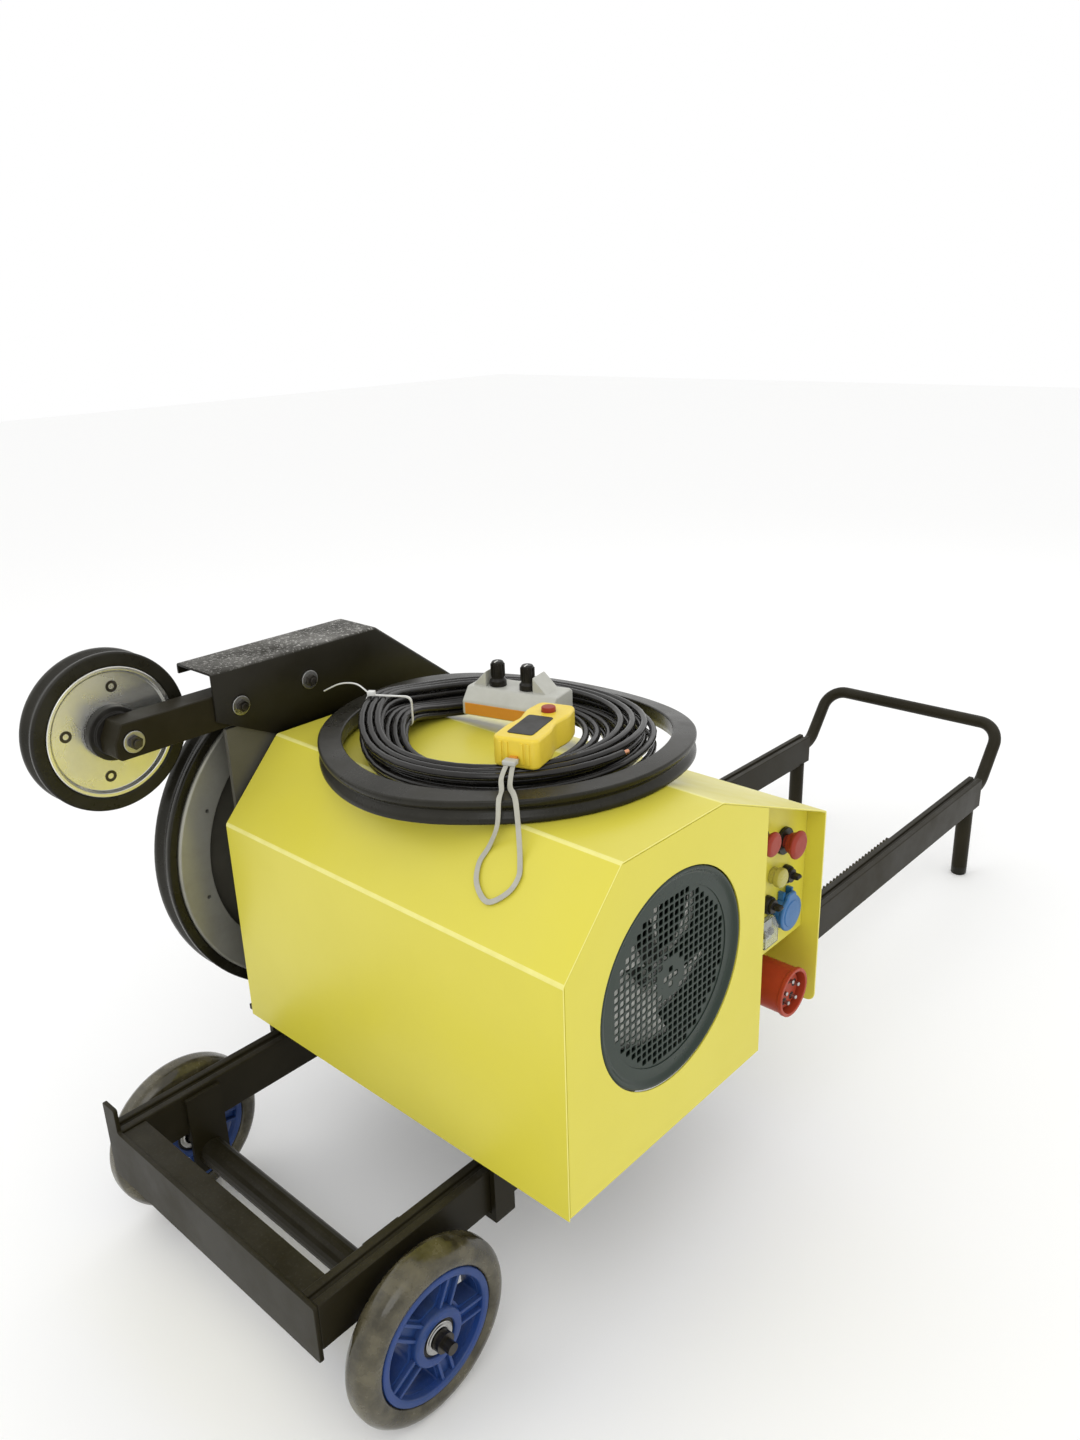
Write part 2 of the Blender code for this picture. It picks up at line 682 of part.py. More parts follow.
def build_pinion(material, parent):
    axis = holder("feed_pinion_axis", parent, (0, PINION_Y, PINION_Z))
    root = PINION_RADIUS - GEAR_MODULE
    tip = PINION_RADIUS + ADDENDUM
    outline = []
    for number in range(PINION_TEETH):
        middle = -pi / 2 + (number + 0.5) * 2 * pi / PINION_TEETH
        for radius, side in ((root, -1), (tip, -1), (tip, 1), (root, 1)):
            turn = side * tooth_half_width(radius - PINION_RADIUS) / radius
            outline.append((radius * cos(middle + turn), radius * sin(middle + turn)))
    piece_from("feed_pinion", prism(outline, "X", FEED_BOX_X + SEAT, RACK_NEAR_X), material, axis)


def build_feed_motor(material, parent):
    top = PLATE_UNDERSIDE - SEAT
    low = (FEED_BOX_X - FEED_BOX_LENGTH, PINION_Y - FEED_BOX_WIDTH / 2, top - FEED_BOX_HEIGHT)
    gearbox = box(low, (FEED_BOX_X, PINION_Y + FEED_BOX_WIDTH / 2, top))
    piece = piece_from("feed_motor", gearbox, material, parent)
    motor = rod("X", FEED_MOTOR_RADIUS, low[0] - FEED_MOTOR_LENGTH, low[0] + FEED_MOTOR_RADIUS, 20)
    bmesh.ops.translate(motor, verts=motor.verts, vec=(0, PINION_Y, top - FEED_BOX_HEIGHT / 2))
    cut(piece, motor, "UNION")


# Carriage running gear

def build_base_plate(material, parent):
    low = (PLATE_START_X, SHEET + SEAT, PLATE_UNDERSIDE)
    high = (PLATE_END_X, HOOD_DEPTH - SHEET - SEAT, PLATE_TOP)
    piece_from("base_plate", box(low, high), material, parent)


def build_roller_yoke(name, centre_y, material, parent):
    """A strap under the base plate, with a hooked side plate down the outside of each rail."""
    top = PLATE_UNDERSIDE - SEAT
    lip_top = RAIL_UNDERSIDE - HOOD_CLEARANCE - BRACKET_SIDE_GAP
    low = lip_top - BRACKET_LIP_HEIGHT
    outline = []
    bores = bmesh.new()
    for centre_x, outward in zip(RAIL_CENTRES, (-1, 1)):
        face = centre_x + outward * RAIL_HALF
        inner = face + outward * BRACKET_SIDE_GAP
        outer = inner + outward * BRACKET_THICKNESS
        lip = face - outward * BRACKET_LIP
        side = [
            (outer, top), (outer, low), (lip, low),
            (lip, lip_top), (inner, lip_top), (inner, top - YOKE_STRAP),
        ]
        outline += side[::-outward]
        start, end = span(inner - outward * BRACKET_THICKNESS, outer + outward * BRACKET_THICKNESS)
        add(bores, rod("X", ROLLER_SHAFT_RADIUS + RUN, start, end, 12), (0, centre_y, ROLLER_Z))
    half = BRACKET_WIDTH / 2
    cut(piece_from(name, prism(outline, "Y", centre_y - half, centre_y + half), material, parent), bores)


def build_roller_set(name, centre_y, material, parent):
    axis = holder(f"{name}_axis", parent, (0, centre_y, ROLLER_Z))
    reach = RAIL_HALF + BRACKET_SIDE_GAP + BRACKET_THICKNESS + 2 * BRACKET_SIDE_GAP
    profile = [(FAR_RAIL_X - reach, 0), (FAR_RAIL_X - reach, ROLLER_SHAFT_RADIUS)]
    for centre_x in RAIL_CENTRES:
        for side in (-1, 1):
            edge = centre_x + side * ROLLER_WIDTH / 2
            rib = centre_x + side * ROLLER_RIB_WIDTH / 2
            steps = [
                (edge, ROLLER_SHAFT_RADIUS), (edge, ROLLER_RADIUS),
                (rib, ROLLER_RADIUS), (rib, ROLLER_RADIUS + ROLLER_RIB),
            ]
            profile += steps[::-side]
    profile += [(NEAR_RAIL_X + reach, ROLLER_SHAFT_RADIUS), (NEAR_RAIL_X + reach, 0)]
    piece_from(name, turned(profile, "X", 12), material, axis)


# Hood, end plates and guard

def roof_height(y):
    """Height of the hood's outer skin."""
    folds = (0, HOOD_TOP_FRONT, HOOD_TOP_REAR, HOOD_DEPTH)
    heights = (HOOD_FRONT_HEIGHT, HOOD_TOP, HOOD_TOP, HOOD_REAR_HEIGHT)
    return float(np.interp(y, folds, heights))


def build_hood(material, parent):
    outline = (
        (0, 0), (0, HOOD_FRONT_HEIGHT), (HOOD_TOP_FRONT, HOOD_TOP),
        (HOOD_TOP_REAR, HOOD_TOP), (HOOD_DEPTH, HOOD_REAR_HEIGHT), (HOOD_DEPTH, 0),
    )
    panels = []
    for (y0, z0), (y1, z1) in zip(outline, outline[1:]):
        panels.append(((0, y0, z0), (HOOD_LENGTH, y0, z0), (HOOD_LENGTH, y1, z1), (0, y1, z1)))
    sheet("hood_shell", panels, SHEET, material, parent)


def build_fan_end_plate(material, parent):
    start = SHEET + SEAT
    low = PLATE_LIFT
    x = HOOD_LENGTH
    back = x - BAY_WALL_DEPTH
    corner = roof_height(BAY_WALL_Y) - ROOF_INSET
    roof = [(x, y, roof_height(y) - ROOF_INSET) for y in (HOOD_TOP_REAR, HOOD_TOP_FRONT, start)]
    face = ((x, start, low), (x, BAY_WALL_Y, low), (x, BAY_WALL_Y, corner), *roof)
    bay_wall = (
        (x, BAY_WALL_Y, low), (back, BAY_WALL_Y, low),
        (back, BAY_WALL_Y, corner), (x, BAY_WALL_Y, corner),
    )
    piece = sheet("fan_end_plate", (face, bay_wall), SHEET, material, parent)
    opening = rod("X", COWL_RADIUS + SEAT, x - 4 * SHEET, x + 4 * SHEET, 32)
    bmesh.ops.translate(opening, verts=opening.verts, vec=(0, MOTOR_Y, MOTOR_Z))
    cut(piece, opening)


def build_control_panel(material, parent):
    start = BAY_WALL_Y + SEAT
    end = HOOD_DEPTH - SHEET - SEAT
    x = PANEL_X
    back = x - SHELF_DEPTH
    low = PLATE_LIFT
    shelf_z = PANEL_LOW_Z
    roof = [(x, y, roof_height(y) - ROOF_INSET) for y in (end, start)]
    front_face = ((x, start, shelf_z), (x, end, shelf_z), *roof)
    shelf = ((x, end, shelf_z), (x, start, shelf_z), (back, start, shelf_z), (back, end, shelf_z))
    inlet_face = ((back, start, low), (back, end, low), (back, end, shelf_z), (back, start, shelf_z))
    sheet("control_panel", (front_face, shelf, inlet_face), SHEET, material, parent)


def build_end_plate(material, parent):
    outline = (
        (END_PLATE_FRONT, PLATE_LIFT), (END_PLATE_REAR, PLATE_LIFT),
        (END_PLATE_REAR, roof_height(END_PLATE_REAR)), (END_PLATE_BREAK, roof_height(END_PLATE_BREAK)),
        (HOOD_TOP_REAR, END_PLATE_TOP),
        (END_PLATE_FRONT, END_PLATE_TOP),
    )
    plate = prism(outline, "X", -END_PLATE_GAP - END_PLATE_THICKNESS, -END_PLATE_GAP)
    piece = piece_from("end_plate", plate, material, parent)
    opening = rod("X", SHAFT_RADIUS + RUN, -END_PLATE_GAP - 2 * END_PLATE_THICKNESS, 0, 16)
    bmesh.ops.translate(opening, verts=opening.verts, vec=(0, MOTOR_Y, MOTOR_Z))
    cut(piece, opening)


def build_guard(material, parent):
    near = GUARD_NEAR_X
    far = near - GUARD_WIDTH
    front, bend, rear = GUARD_FRONT_Y, GUARD_BREAK_Y, GUARD_REAR_Y
    top, low = GUARD_TOP_Z, GUARD_LOW_Z
    lip = GUARD_LIP
    side = (
        (near, front, GUARD_NOSE_Z), (near, GUARD_NOSE_Y, low), (near, rear, low),
        (near, bend, top), (near, front, top),
    )
    cover = ((near, front, top), (near, bend, top), (far, bend, top), (far, front, top))
    slope = ((near, bend, top), (near, rear, low), (far, rear, low), (far, bend, top))
    top_lip = ((far, front, top), (far, bend, top), (far, bend, top - lip), (far, front, top - lip))
    rear_lip = ((far, bend, top), (far, rear, low), (far, rear, low - lip), (far, bend, top - lip))
    sheet("guard", (side, cover, slope, top_lip, rear_lip), GUARD_SHEET, material, parent)


# Motor and fan

def build_motor(material, parent):
    axis = (0, MOTOR_Y, MOTOR_Z)
    outline = []
    step = 2 * pi / MOTOR_FINS
    core = MOTOR_CORE_RADIUS
    fin = MOTOR_FIN_RADIUS
    for number in range(MOTOR_FINS):
        for radius, share in ((core, 0.0), (core, 0.55), (fin, 0.65), (fin, 0.9)):
            angle = (number + share) * step
            outline.append((radius * cos(angle), radius * sin(angle)))
    body = prism(outline, "X", MOTOR_START_X, MOTOR_END_X)
    piece = piece_from("motor_body", body, material, parent, axis)
    low = (FOOT_START_X, -FOOT_WIDTH / 2, PLATE_TOP + SEAT - MOTOR_Z)
    cut(piece, box(low, (FOOT_END_X, FOOT_WIDTH / 2, -0.8 * MOTOR_CORE_RADIUS)), "UNION")
    shield_end = MOTOR_END_X + SHEET
    cut(piece, rod("X", COWL_RADIUS - SHEET - SEAT, MOTOR_END_X - COWL_OVERLAP, shield_end, 32), "UNION")
    cut(piece, rod("X", SHAFT_RADIUS + RUN, MOTOR_START_X - SHEET, shield_end + SHEET, 16))


def build_cowl(material, parent):
    front = HOOD_LENGTH - SEAT
    back = MOTOR_END_X - COWL_OVERLAP
    inner = COWL_RADIUS - SHEET
    profile = (
        (front, 0), (front, COWL_RADIUS - COWL_LIP), (front - COWL_LIP, COWL_RADIUS), (back, COWL_RADIUS),
        (back, inner), (front - COWL_LIP, inner), (front - SHEET, inner - SHEET), (front - SHEET, 0),
    )
    piece = piece_from("fan_cowl", turned(profile, "X", 32), material, parent, (0, MOTOR_Y, MOTOR_Z))
    holes = bmesh.new()
    row_height = GRILLE_PITCH * cos(pi / 6)
    reach = ceil(GRILLE_RADIUS / row_height)
    for row in range(-reach, reach + 1):
        for column in range(-reach - 1, reach + 2):
            y = (column + 0.5 * (row % 2)) * GRILLE_PITCH
            z = row * row_height
            if hypot(y, z) + GRILLE_HOLE_RADIUS < GRILLE_RADIUS + SHEET:
                hole = circle(GRILLE_HOLE_RADIUS, 4, (y, z), pi / 4)
                add(holes, prism(hole, "X", front - 4 * SHEET, front + 4 * SHEET))
    cut(piece, holes)


def build_rotor(steel, aluminium, rubber, plastic, parent):
    axis = holder("rotor_axis", parent, (0, MOTOR_Y, MOTOR_Z))
    drive_end = DRIVE_FAR_X + DRIVE_WEB
    shaft = rod("X", SHAFT_RADIUS, drive_end, FAN_START_X + FAN_WIDTH, 16)
    piece_from("motor_shaft", shaft, steel, axis)
    bore = SHAFT_RADIUS + SEAT
    web_near = DRIVE_NEAR_X - DRIVE_WEB_INSET
    web_far = web_near - DRIVE_WEB
    edge = DRIVE_RIM_INNER - SEAT
    hub = (
        (DRIVE_NEAR_X, bore), (DRIVE_NEAR_X, DRIVE_BOSS_RADIUS), (web_near, DRIVE_BOSS_RADIUS),
        (web_near, edge), (web_far, edge), (web_far, DRIVE_BOSS_RADIUS),
        (drive_end, DRIVE_BOSS_RADIUS), (drive_end, bore),
    )
    piece_from("drive_hub", turned(hub, "X", 40, ring=True), steel, axis)
    near = DRIVE_NEAR_X + DRIVE_RIM_PROUD
    far = DRIVE_FAR_X + DRIVE_RIM_PROUD
    rim = ((near, DRIVE_RIM_INNER), (near, DRIVE_RIM_OUTER), (far, DRIVE_RIM_OUTER), (far, DRIVE_RIM_INNER))
    piece_from("drive_rim", turned(rim, "X", 40, ring=True), aluminium, axis)
    tyre = pulley_tyre(DRIVE_RIM_OUTER, DRIVE_RADIUS, DRIVE_NEAR_X, DRIVE_FAR_X, 40)
    piece_from("drive_tyre", tyre, rubber, axis)
    outline = []
    for number in range(FAN_BLADES):
        middle = 2 * pi * number / FAN_BLADES
        half = pi / FAN_BLADES
        blade = ((FAN_HUB_RADIUS, -0.9), (FAN_RADIUS, -0.45), (FAN_RADIUS, 0.3), (FAN_HUB_RADIUS, 0.4))
        for radius, share in blade:
            angle = middle + share * half
            outline.append((radius * cos(angle), radius * sin(angle)))
    fan = piece_from("motor_fan", prism(outline, "X", FAN_START_X, FAN_START_X + FAN_WIDTH), plastic, axis)
    cut(fan, rod("X", bore, FAN_START_X - SHEET, FAN_START_X + FAN_WIDTH + SHEET, 16))


def pulley_tyre(seat_radius, radius, near, far, steps):
    """A rubber band with a groove for the wire round its middle."""
    inner = seat_radius + SEAT
    middle = (near + far) / 2
    shoulder = (near - far) * 0.3
    profile = (
        (near, inner), (near, radius), (middle + shoulder, radius), (middle, radius - TYRE_GROOVE),
        (middle - shoulder, radius), (far, radius), (far, inner),
    )
    return turned(profile, "X", steps, ring=True)


# Guide pulley

def build_guide_pulley(steel, aluminium, rubber, black, parent):
    axis = holder("guide_axis", parent, (0, GUIDE_Y, GUIDE_Z))
    near = GUIDE_NEAR_X
    face = near - 2 * DRIVE_RIM_PROUD
    back = face - GUIDE_WEB
    far = GUIDE_FAR_X + DRIVE_RIM_PROUD
    lip = GUIDE_DISC_RADIUS - GUIDE_RIM
    bore = GUIDE_BUSH_RADIUS + SEAT
    disc = (
        (face, bore), (face, lip), (near - SEAT, lip + GUIDE_RIM / 3), (near - SEAT, GUIDE_DISC_RADIUS),
        (far, GUIDE_DISC_RADIUS), (far, lip), (back, lip - GUIDE_RIM / 2), (back, bore),
    )
    piece_from("guide_disc", turned(disc, "X", 32, ring=True), aluminium, axis)
    tyre = pulley_tyre(GUIDE_DISC_RADIUS, GUIDE_RADIUS, GUIDE_NEAR_X, GUIDE_FAR_X, 32)
    piece_from("guide_tyre", tyre, rubber, axis)
    arm_face = ARM_NEAR_X - ARM_WIDTH - RUN
    shaft_bore = GUIDE_AXLE_RADIUS + RUN
    step = (arm_face + face) / 2
    hub = (
        (arm_face, shaft_bore), (arm_face, 0.8 * GUIDE_HUB_RADIUS), (step, 0.8 * GUIDE_HUB_RADIUS),
        (step, GUIDE_HUB_RADIUS), (face + SEAT, GUIDE_HUB_RADIUS), (face + SEAT, GUIDE_BUSH_RADIUS),
        (back, GUIDE_BUSH_RADIUS), (back, shaft_bore),
    )
    piece_from("guide_hub", turned(hub, "X", 16, ring=True), black, axis)
    seat = ARM_NEAR_X + SEAT
    head = seat + WASHER_THICKNESS
    end = head + BOLT_HEAD_HEIGHT
    bolt = (
        (back, 0), (back, GUIDE_AXLE_RADIUS), (seat, GUIDE_AXLE_RADIUS), (seat, WASHER_RADIUS),
        (head, WASHER_RADIUS), (head, BOLT_HEAD_RADIUS), (end, BOLT_HEAD_RADIUS), (end, 0),
    )
    piece_from("guide_axle", turned(bolt, "X", 12), steel, parent, (0, GUIDE_Y, GUIDE_Z))


def build_guide_arm(black, parent):
    low = ARM_LOW_Z
    high = low + ARM_HEIGHT
    outline = (
        (ARM_FRONT_Y, low + ARM_CHAMFER / 2), (ARM_FRONT_Y + ARM_CHAMFER / 2, low), (ARM_REAR_Y, low),
        (ARM_REAR_Y, high), (ARM_FRONT_Y + ARM_CHAMFER, high), (ARM_FRONT_Y, high - 2 * ARM_CHAMFER),
    )
    arm = piece_from("guide_arm", prism(outline, "X", ARM_NEAR_X - ARM_WIDTH, ARM_NEAR_X), black, parent)
    bore = rod("X", GUIDE_AXLE_RADIUS + SEAT, ARM_NEAR_X - 2 * ARM_WIDTH, ARM_NEAR_X + ARM_WIDTH, 12)
    bmesh.ops.translate(bore, verts=bore.verts, vec=(0, GUIDE_Y, GUIDE_Z))
    cut(arm, bore)


# Controls

def ring_profile(start, end, bore, radius):
    return ((start, bore), (start, radius), (end, radius), (end, bore))


def in_bay(x, place):
    return (x, BAY_WALL_Y + place[0], place[1])


def on_panel(place):
    return in_bay(PANEL_X, place)


def collar_profile(head_radius):
    return ring_profile(SEAT, SEAT + COLLAR_DEPTH, STEM_RADIUS + RUN, head_radius - COLLAR_INSET)


def build_bezels(material, parent):
    bezel = ring_profile(SEAT, SEAT + BEZEL_DEPTH, BUTTON_RADIUS + RUN, BEZEL_RADIUS)
    rings = (
        ("estop_collar", ESTOP_PLACE, collar_profile(ESTOP_RADIUS)),
        ("stop_collar", STOP_PLACE, collar_profile(STOP_RADIUS)),
        ("button_bezel", START_PLACE, bezel), ("selector_bezel_1", SELECTOR_PLACES[0], bezel),
        ("selector_bezel_2", SELECTOR_PLACES[1], bezel),
    )
    for name, place, profile in rings:
        piece_from(name, turned(profile, "X", 14, ring=True), material, parent, on_panel(place))


def build_mushroom(name, place, radius, height, material, parent):
    axis = holder(f"{name}_axis", parent, on_panel(place))
    start = SEAT + RUN + HEAD_TRAVEL
    under = SEAT + COLLAR_DEPTH + RUN + HEAD_TRAVEL
    top = under + height
    profile = (
        (start, 0), (start, STEM_RADIUS), (under, STEM_RADIUS), (under, radius),
        (under + 0.5 * height, radius), (under + 0.85 * height, 0.8 * radius),
        (top, 0.4 * radius), (top, 0),
    )
    piece_from(name, turned(profile, "X", 16), material, axis)


def build_start_button(material, parent):
    axis = holder("yellow_button_axis", parent, on_panel(START_PLACE))
    start = SEAT + RUN + START_TRAVEL
    top = SEAT + BEZEL_DEPTH + START_TRAVEL - RUN
    piece_from("yellow_button", rod("X", BUTTON_RADIUS, start, top, 14), material, axis)


def build_selector(number, place, material, parent):
    name = f"selector_lever_{number}"
    axis = holder(f"{name}_axis", parent, on_panel(place))
    top = SEAT + BEZEL_DEPTH + START_TRAVEL + RUN
    half = LEVER_WIDTH / 2
    shoulder = LEVER_REACH - half
    lever = (
        (-LEVER_TAIL, -half), (shoulder, -half), (LEVER_REACH, 0),
        (shoulder, half), (-LEVER_TAIL, half),
    )
    piece = piece_from(name, rod("X", BUTTON_RADIUS, SEAT + RUN, top + RUN, 14), material, axis)
    cut(piece, prism(lever, "X", top, top + LEVER_HEIGHT), "UNION")


def build_socket(material, lid_material, parent):
    front = SEAT + SOCKET_DEPTH
    recess = SEAT + SOCKET_FLOOR
    profile = (
        (SEAT, 0), (SEAT, SOCKET_RADIUS), (front, SOCKET_RADIUS), (front, SOCKET_BORE_RADIUS),
        (recess, SOCKET_BORE_RADIUS), (recess, 0),
    )
    piece = piece_from("socket_base", turned(profile, "X", 24), material, parent, on_panel(SOCKET_PLACE))
    half = LID_TAB_WIDTH / 2
    low = (2 * SEAT, -half, (SOCKET_RADIUS + SOCKET_BORE_RADIUS) / 2)
    cut(piece, box(low, (front - SEAT, half, LID_HINGE_RISE + SHEET)), "UNION")
    hinge_y, hinge_z = SOCKET_PLACE[0], SOCKET_PLACE[1] + LID_HINGE_RISE
    hinge_place = in_bay(PANEL_X + front + SEAT, (hinge_y, hinge_z))
    hinge = holder("socket_lid_hinge", parent, hinge_place)
    side = np.arcsin(half / LID_RADIUS)
    sweep = np.linspace(pi / 2 + side, 5 * pi / 2 - side, 20)
    outline = [(LID_RADIUS * cos(a), LID_RADIUS * sin(a) - LID_HINGE_RISE) for a in sweep]
    outline += [(half, 0), (-half, 0)]
    piece_from("socket_lid", prism(outline, "X", 0, LID_THICKNESS), lid_material, hinge)


def build_breaker_cover(material, parent):
    y, z = BREAKER_PLACE
    hinge = holder("breaker_cover_hinge", parent, in_bay(PANEL_X + SEAT, (y - BREAKER_WIDTH / 2, z)))
    half = BREAKER_HEIGHT / 2
    cover = box((0, 0, -half), (BREAKER_DEPTH, BREAKER_WIDTH, half))
    piece = piece_from("breaker_cover", cover, material, hinge)
    low = (-BREAKER_WALL, BREAKER_WALL, BREAKER_WALL - half)
    high = (BREAKER_DEPTH - BREAKER_WALL, BREAKER_WIDTH - BREAKER_WALL, half - BREAKER_WALL)
    cut(piece, box(low, high))


def build_inlet(red, parent):
    start = PANEL_X - SHELF_DEPTH + SEAT
    neck = start + INLET_FLANGE
    shell = neck + INLET_NECK
    floor = HOOD_LENGTH - INLET_BORE_DEPTH
    profile = (
        (start, 0), (start, INLET_RADIUS), (neck, INLET_RADIUS), (neck, INLET_NECK_RADIUS),
        (shell, INLET_NECK_RADIUS), (shell, INLET_RADIUS), (HOOD_LENGTH, INLET_RADIUS),
        (HOOD_LENGTH, INLET_BORE_RADIUS), (floor, INLET_BORE_RADIUS), (floor, 0),
    )
    inlet = piece_from("inlet_body", turned(profile, "X", 20), red, parent, in_bay(0, INLET_PLACE))
    pins = bmesh.new()
    for y, z in circle(PIN_CIRCLE, PIN_COUNT, turn=-pi / 2):
        add(pins, rod("X", PIN_RADIUS, floor - PIN_RADIUS, floor + PIN_LENGTH, 6), (0, y, z))
    cut(inlet, pins, "UNION")


# Things carried on the hood

def droop(y):
    """How far a limp ring laid on the hood sinks over the roof's front and rear folds."""
    front = max(0, HOOD_TOP_FRONT - DROOP_EASE - y)
    rear = max(0, y - HOOD_TOP_REAR)
    return front ** 2 / (2 * FRONT_DROOP_RADIUS) + rear ** 2 / (2 * REAR_DROOP_RADIUS)


def build_spare_tyre(material, parent):
    inner = RING_RADIUS - RING_WIDTH
    step = inner + RING_GROOVE
    groove = RING_RADIUS - RING_GROOVE
    profile = [(share * RING_HEIGHT, radius) for share, radius in (
        (0.0, RING_RADIUS), (0.25, RING_RADIUS), (0.5, groove), (0.75, RING_RADIUS),
        (1.0, RING_RADIUS), (1.0, inner), (0.4, inner), (0.0, step),
    )]
    ring = turned(profile, "Z", 48, ring=True)
    for corner in ring.verts:
        corner.co += Vector((RING_X, RING_Y, HOOD_TOP + 2 * SEAT))
        corner.co.z -= droop(corner.co.y)
    piece_from("spare_tyre", ring, material, parent)


def smooth_step(share):
    share = min(1, max(0, share))
    return share * share * (3 - 2 * share)


def coil_points():
    """One cable wound inwards and outwards in layers, drawn together and lifted where it is tied."""
    reversals = np.cumsum(LOOPS_IN_LAYERS)
    tie = radians(TIE_ANGLE)
    points = []
    for step in range(POINTS_IN_LOOP * int(reversals[-1]) + 1):
        turn = step / POINTS_IN_LOOP
        layer = min(int(np.searchsorted(reversals, turn, side="right")), len(reversals) - 1)
        into_layer = turn - (reversals[layer] - LOOPS_IN_LAYERS[layer])
        inward = into_layer if layer % 2 == 0 else LOOPS_IN_LAYERS[layer] - into_layer
        level = sum(smooth_step(2 * (turn - change) + 0.5) for change in reversals[:-1])
        angle = radians(CABLE_END_ANGLE) + 2 * pi * turn
        spread = (1 - cos(angle - tie)) / 2
        pitch = LOOP_PITCH_AT_TIE + (LOOP_PITCH - LOOP_PITCH_AT_TIE) * spread
        radius = COIL_OUTER_RADIUS - inward * pitch
        y = RING_Y + radius * sin(angle)
        lift = TIE_LIFT * max(0, cos(angle - tie)) ** 8
        height = COIL_FLOOR + level * LAYER_PITCH + lift - droop(y)
        points.append((RING_X + radius * cos(angle), y, height))
    return points


def least_gap(points):
    """Smallest clear space between one stretch of the cable and another, half a loop or more away."""
    places = np.array(points)
    middles = (places[:-1] + places[1:]) / 2
    apart = np.linalg.norm(places[:, None] - np.vstack((places, middles))[None], axis=2)
    count = len(places)
    order = np.arange(count)
    beside = np.concatenate((order, order[:-1] + 0.5))
    apart[np.abs(order[:, None] - beside[None]) < POINTS_IN_LOOP / 2] = np.inf
    return apart.min() - CABLE_DIAMETER


def build_coil(black, white, points, parent):
    tube("cable_coil", points, CABLE_RADIUS, 1, black, parent)
    print(f"least gap between the cable's loops: {1000 * least_gap(points):.2f} mm")
    tie_step = round((TIE_ANGLE - CABLE_END_ANGLE) * POINTS_IN_LOOP / 360)
    tied = points[tie_step::POINTS_IN_LOOP]
    reach = [hypot(x - RING_X, y - RING_Y) for x, y, z in tied]
    height = [z for x, y, z in tied]
    margin = CABLE_RADIUS + SEAT
    inner = (min(reach) - margin, max(reach) + margin, min(height) - margin, max(height) + margin)
    wall = TIE_THICKNESS
    outer = (inner[0] - wall, inner[1] + wall, inner[2] - wall, inner[3] + wall)
    bands = [((a, low), (b, low), (b, high), (a, high)) for a, b, low, high in (outer, inner)]
    band = prism(bands[0], "Y", -TIE_WIDTH / 2, TIE_WIDTH / 2)
    turn = (0, 0, radians(TIE_ANGLE))
    piece = piece_from("cable_tie", band, white, parent, (RING_X, RING_Y, 0), turn)
    cut(piece, prism(bands[1], "Y", -TIE_WIDTH, TIE_WIDTH))


def seat_on_cable(points, x, y, turn, width, length):
    """Height at which a box, turned about the upright axis, comes to rest on the cable's loops."""
    across = cos(radians(turn))
    along = sin(radians(turn))
    places = np.array(points)
    shares = np.linspace(0, 1, SEAT_SAMPLES)[:, None, None]
    between = places[:-1] + shares * (places[1:] - places[:-1])
    px, py, pz = between.reshape(-1, 3).T
    beside = np.abs((px - x) * across + (py - y) * along) < width / 2
    ahead = np.abs((py - y) * across - (px - x) * along) < length / 2
    return float(pz[beside & ahead].max()) + CABLE_RADIUS + SEAT


def build_remote(grey, black, points, parent):
    rest = seat_on_cable(points, REMOTE_X, REMOTE_Y, REMOTE_TURN, REMOTE_LENGTH, REMOTE_WIDTH)
    height = rest - REMOTE_SETTLE
    half_length = REMOTE_LENGTH / 2
    half_width = REMOTE_WIDTH / 2
    edge = REMOTE_EDGE
    outline = []
    for sx, sy in ((1, -1), (1, 1), (-1, 1), (-1, -1)):
        end = (sx * half_length, sy * (half_width - edge))
        side = (sx * (half_length - edge), sy * half_width)
        corner = [end, side]
        outline += corner if sx * sy > 0 else corner[::-1]
    body = holder("remote_place", parent, (REMOTE_X, REMOTE_Y, height))
    body.rotation_euler = (0, 0, radians(REMOTE_TURN))
    piece_from("remote_body", prism(outline, "Z", 0, REMOTE_HEIGHT), grey, body)
    profile = (
        (SEAT, 0), (SEAT, KNOB_RADIUS), (0.35 * KNOB_HEIGHT, KNOB_RADIUS),
        (0.5 * KNOB_HEIGHT, 0.7 * KNOB_RADIUS), (KNOB_HEIGHT, 0.7 * KNOB_RADIUS), (KNOB_HEIGHT, 0),
    )
    for number, side in ((1, -1), (2, 1)):
        place = (KNOB_SPACING * side / 2 + KNOB_OFFSET, 0, REMOTE_HEIGHT)
        axis = holder(f"remote_knob_{number}_axis", body, place)
        piece_from(f"remote_knob_{number}", turned(profile, "Z", 16), black, axis)


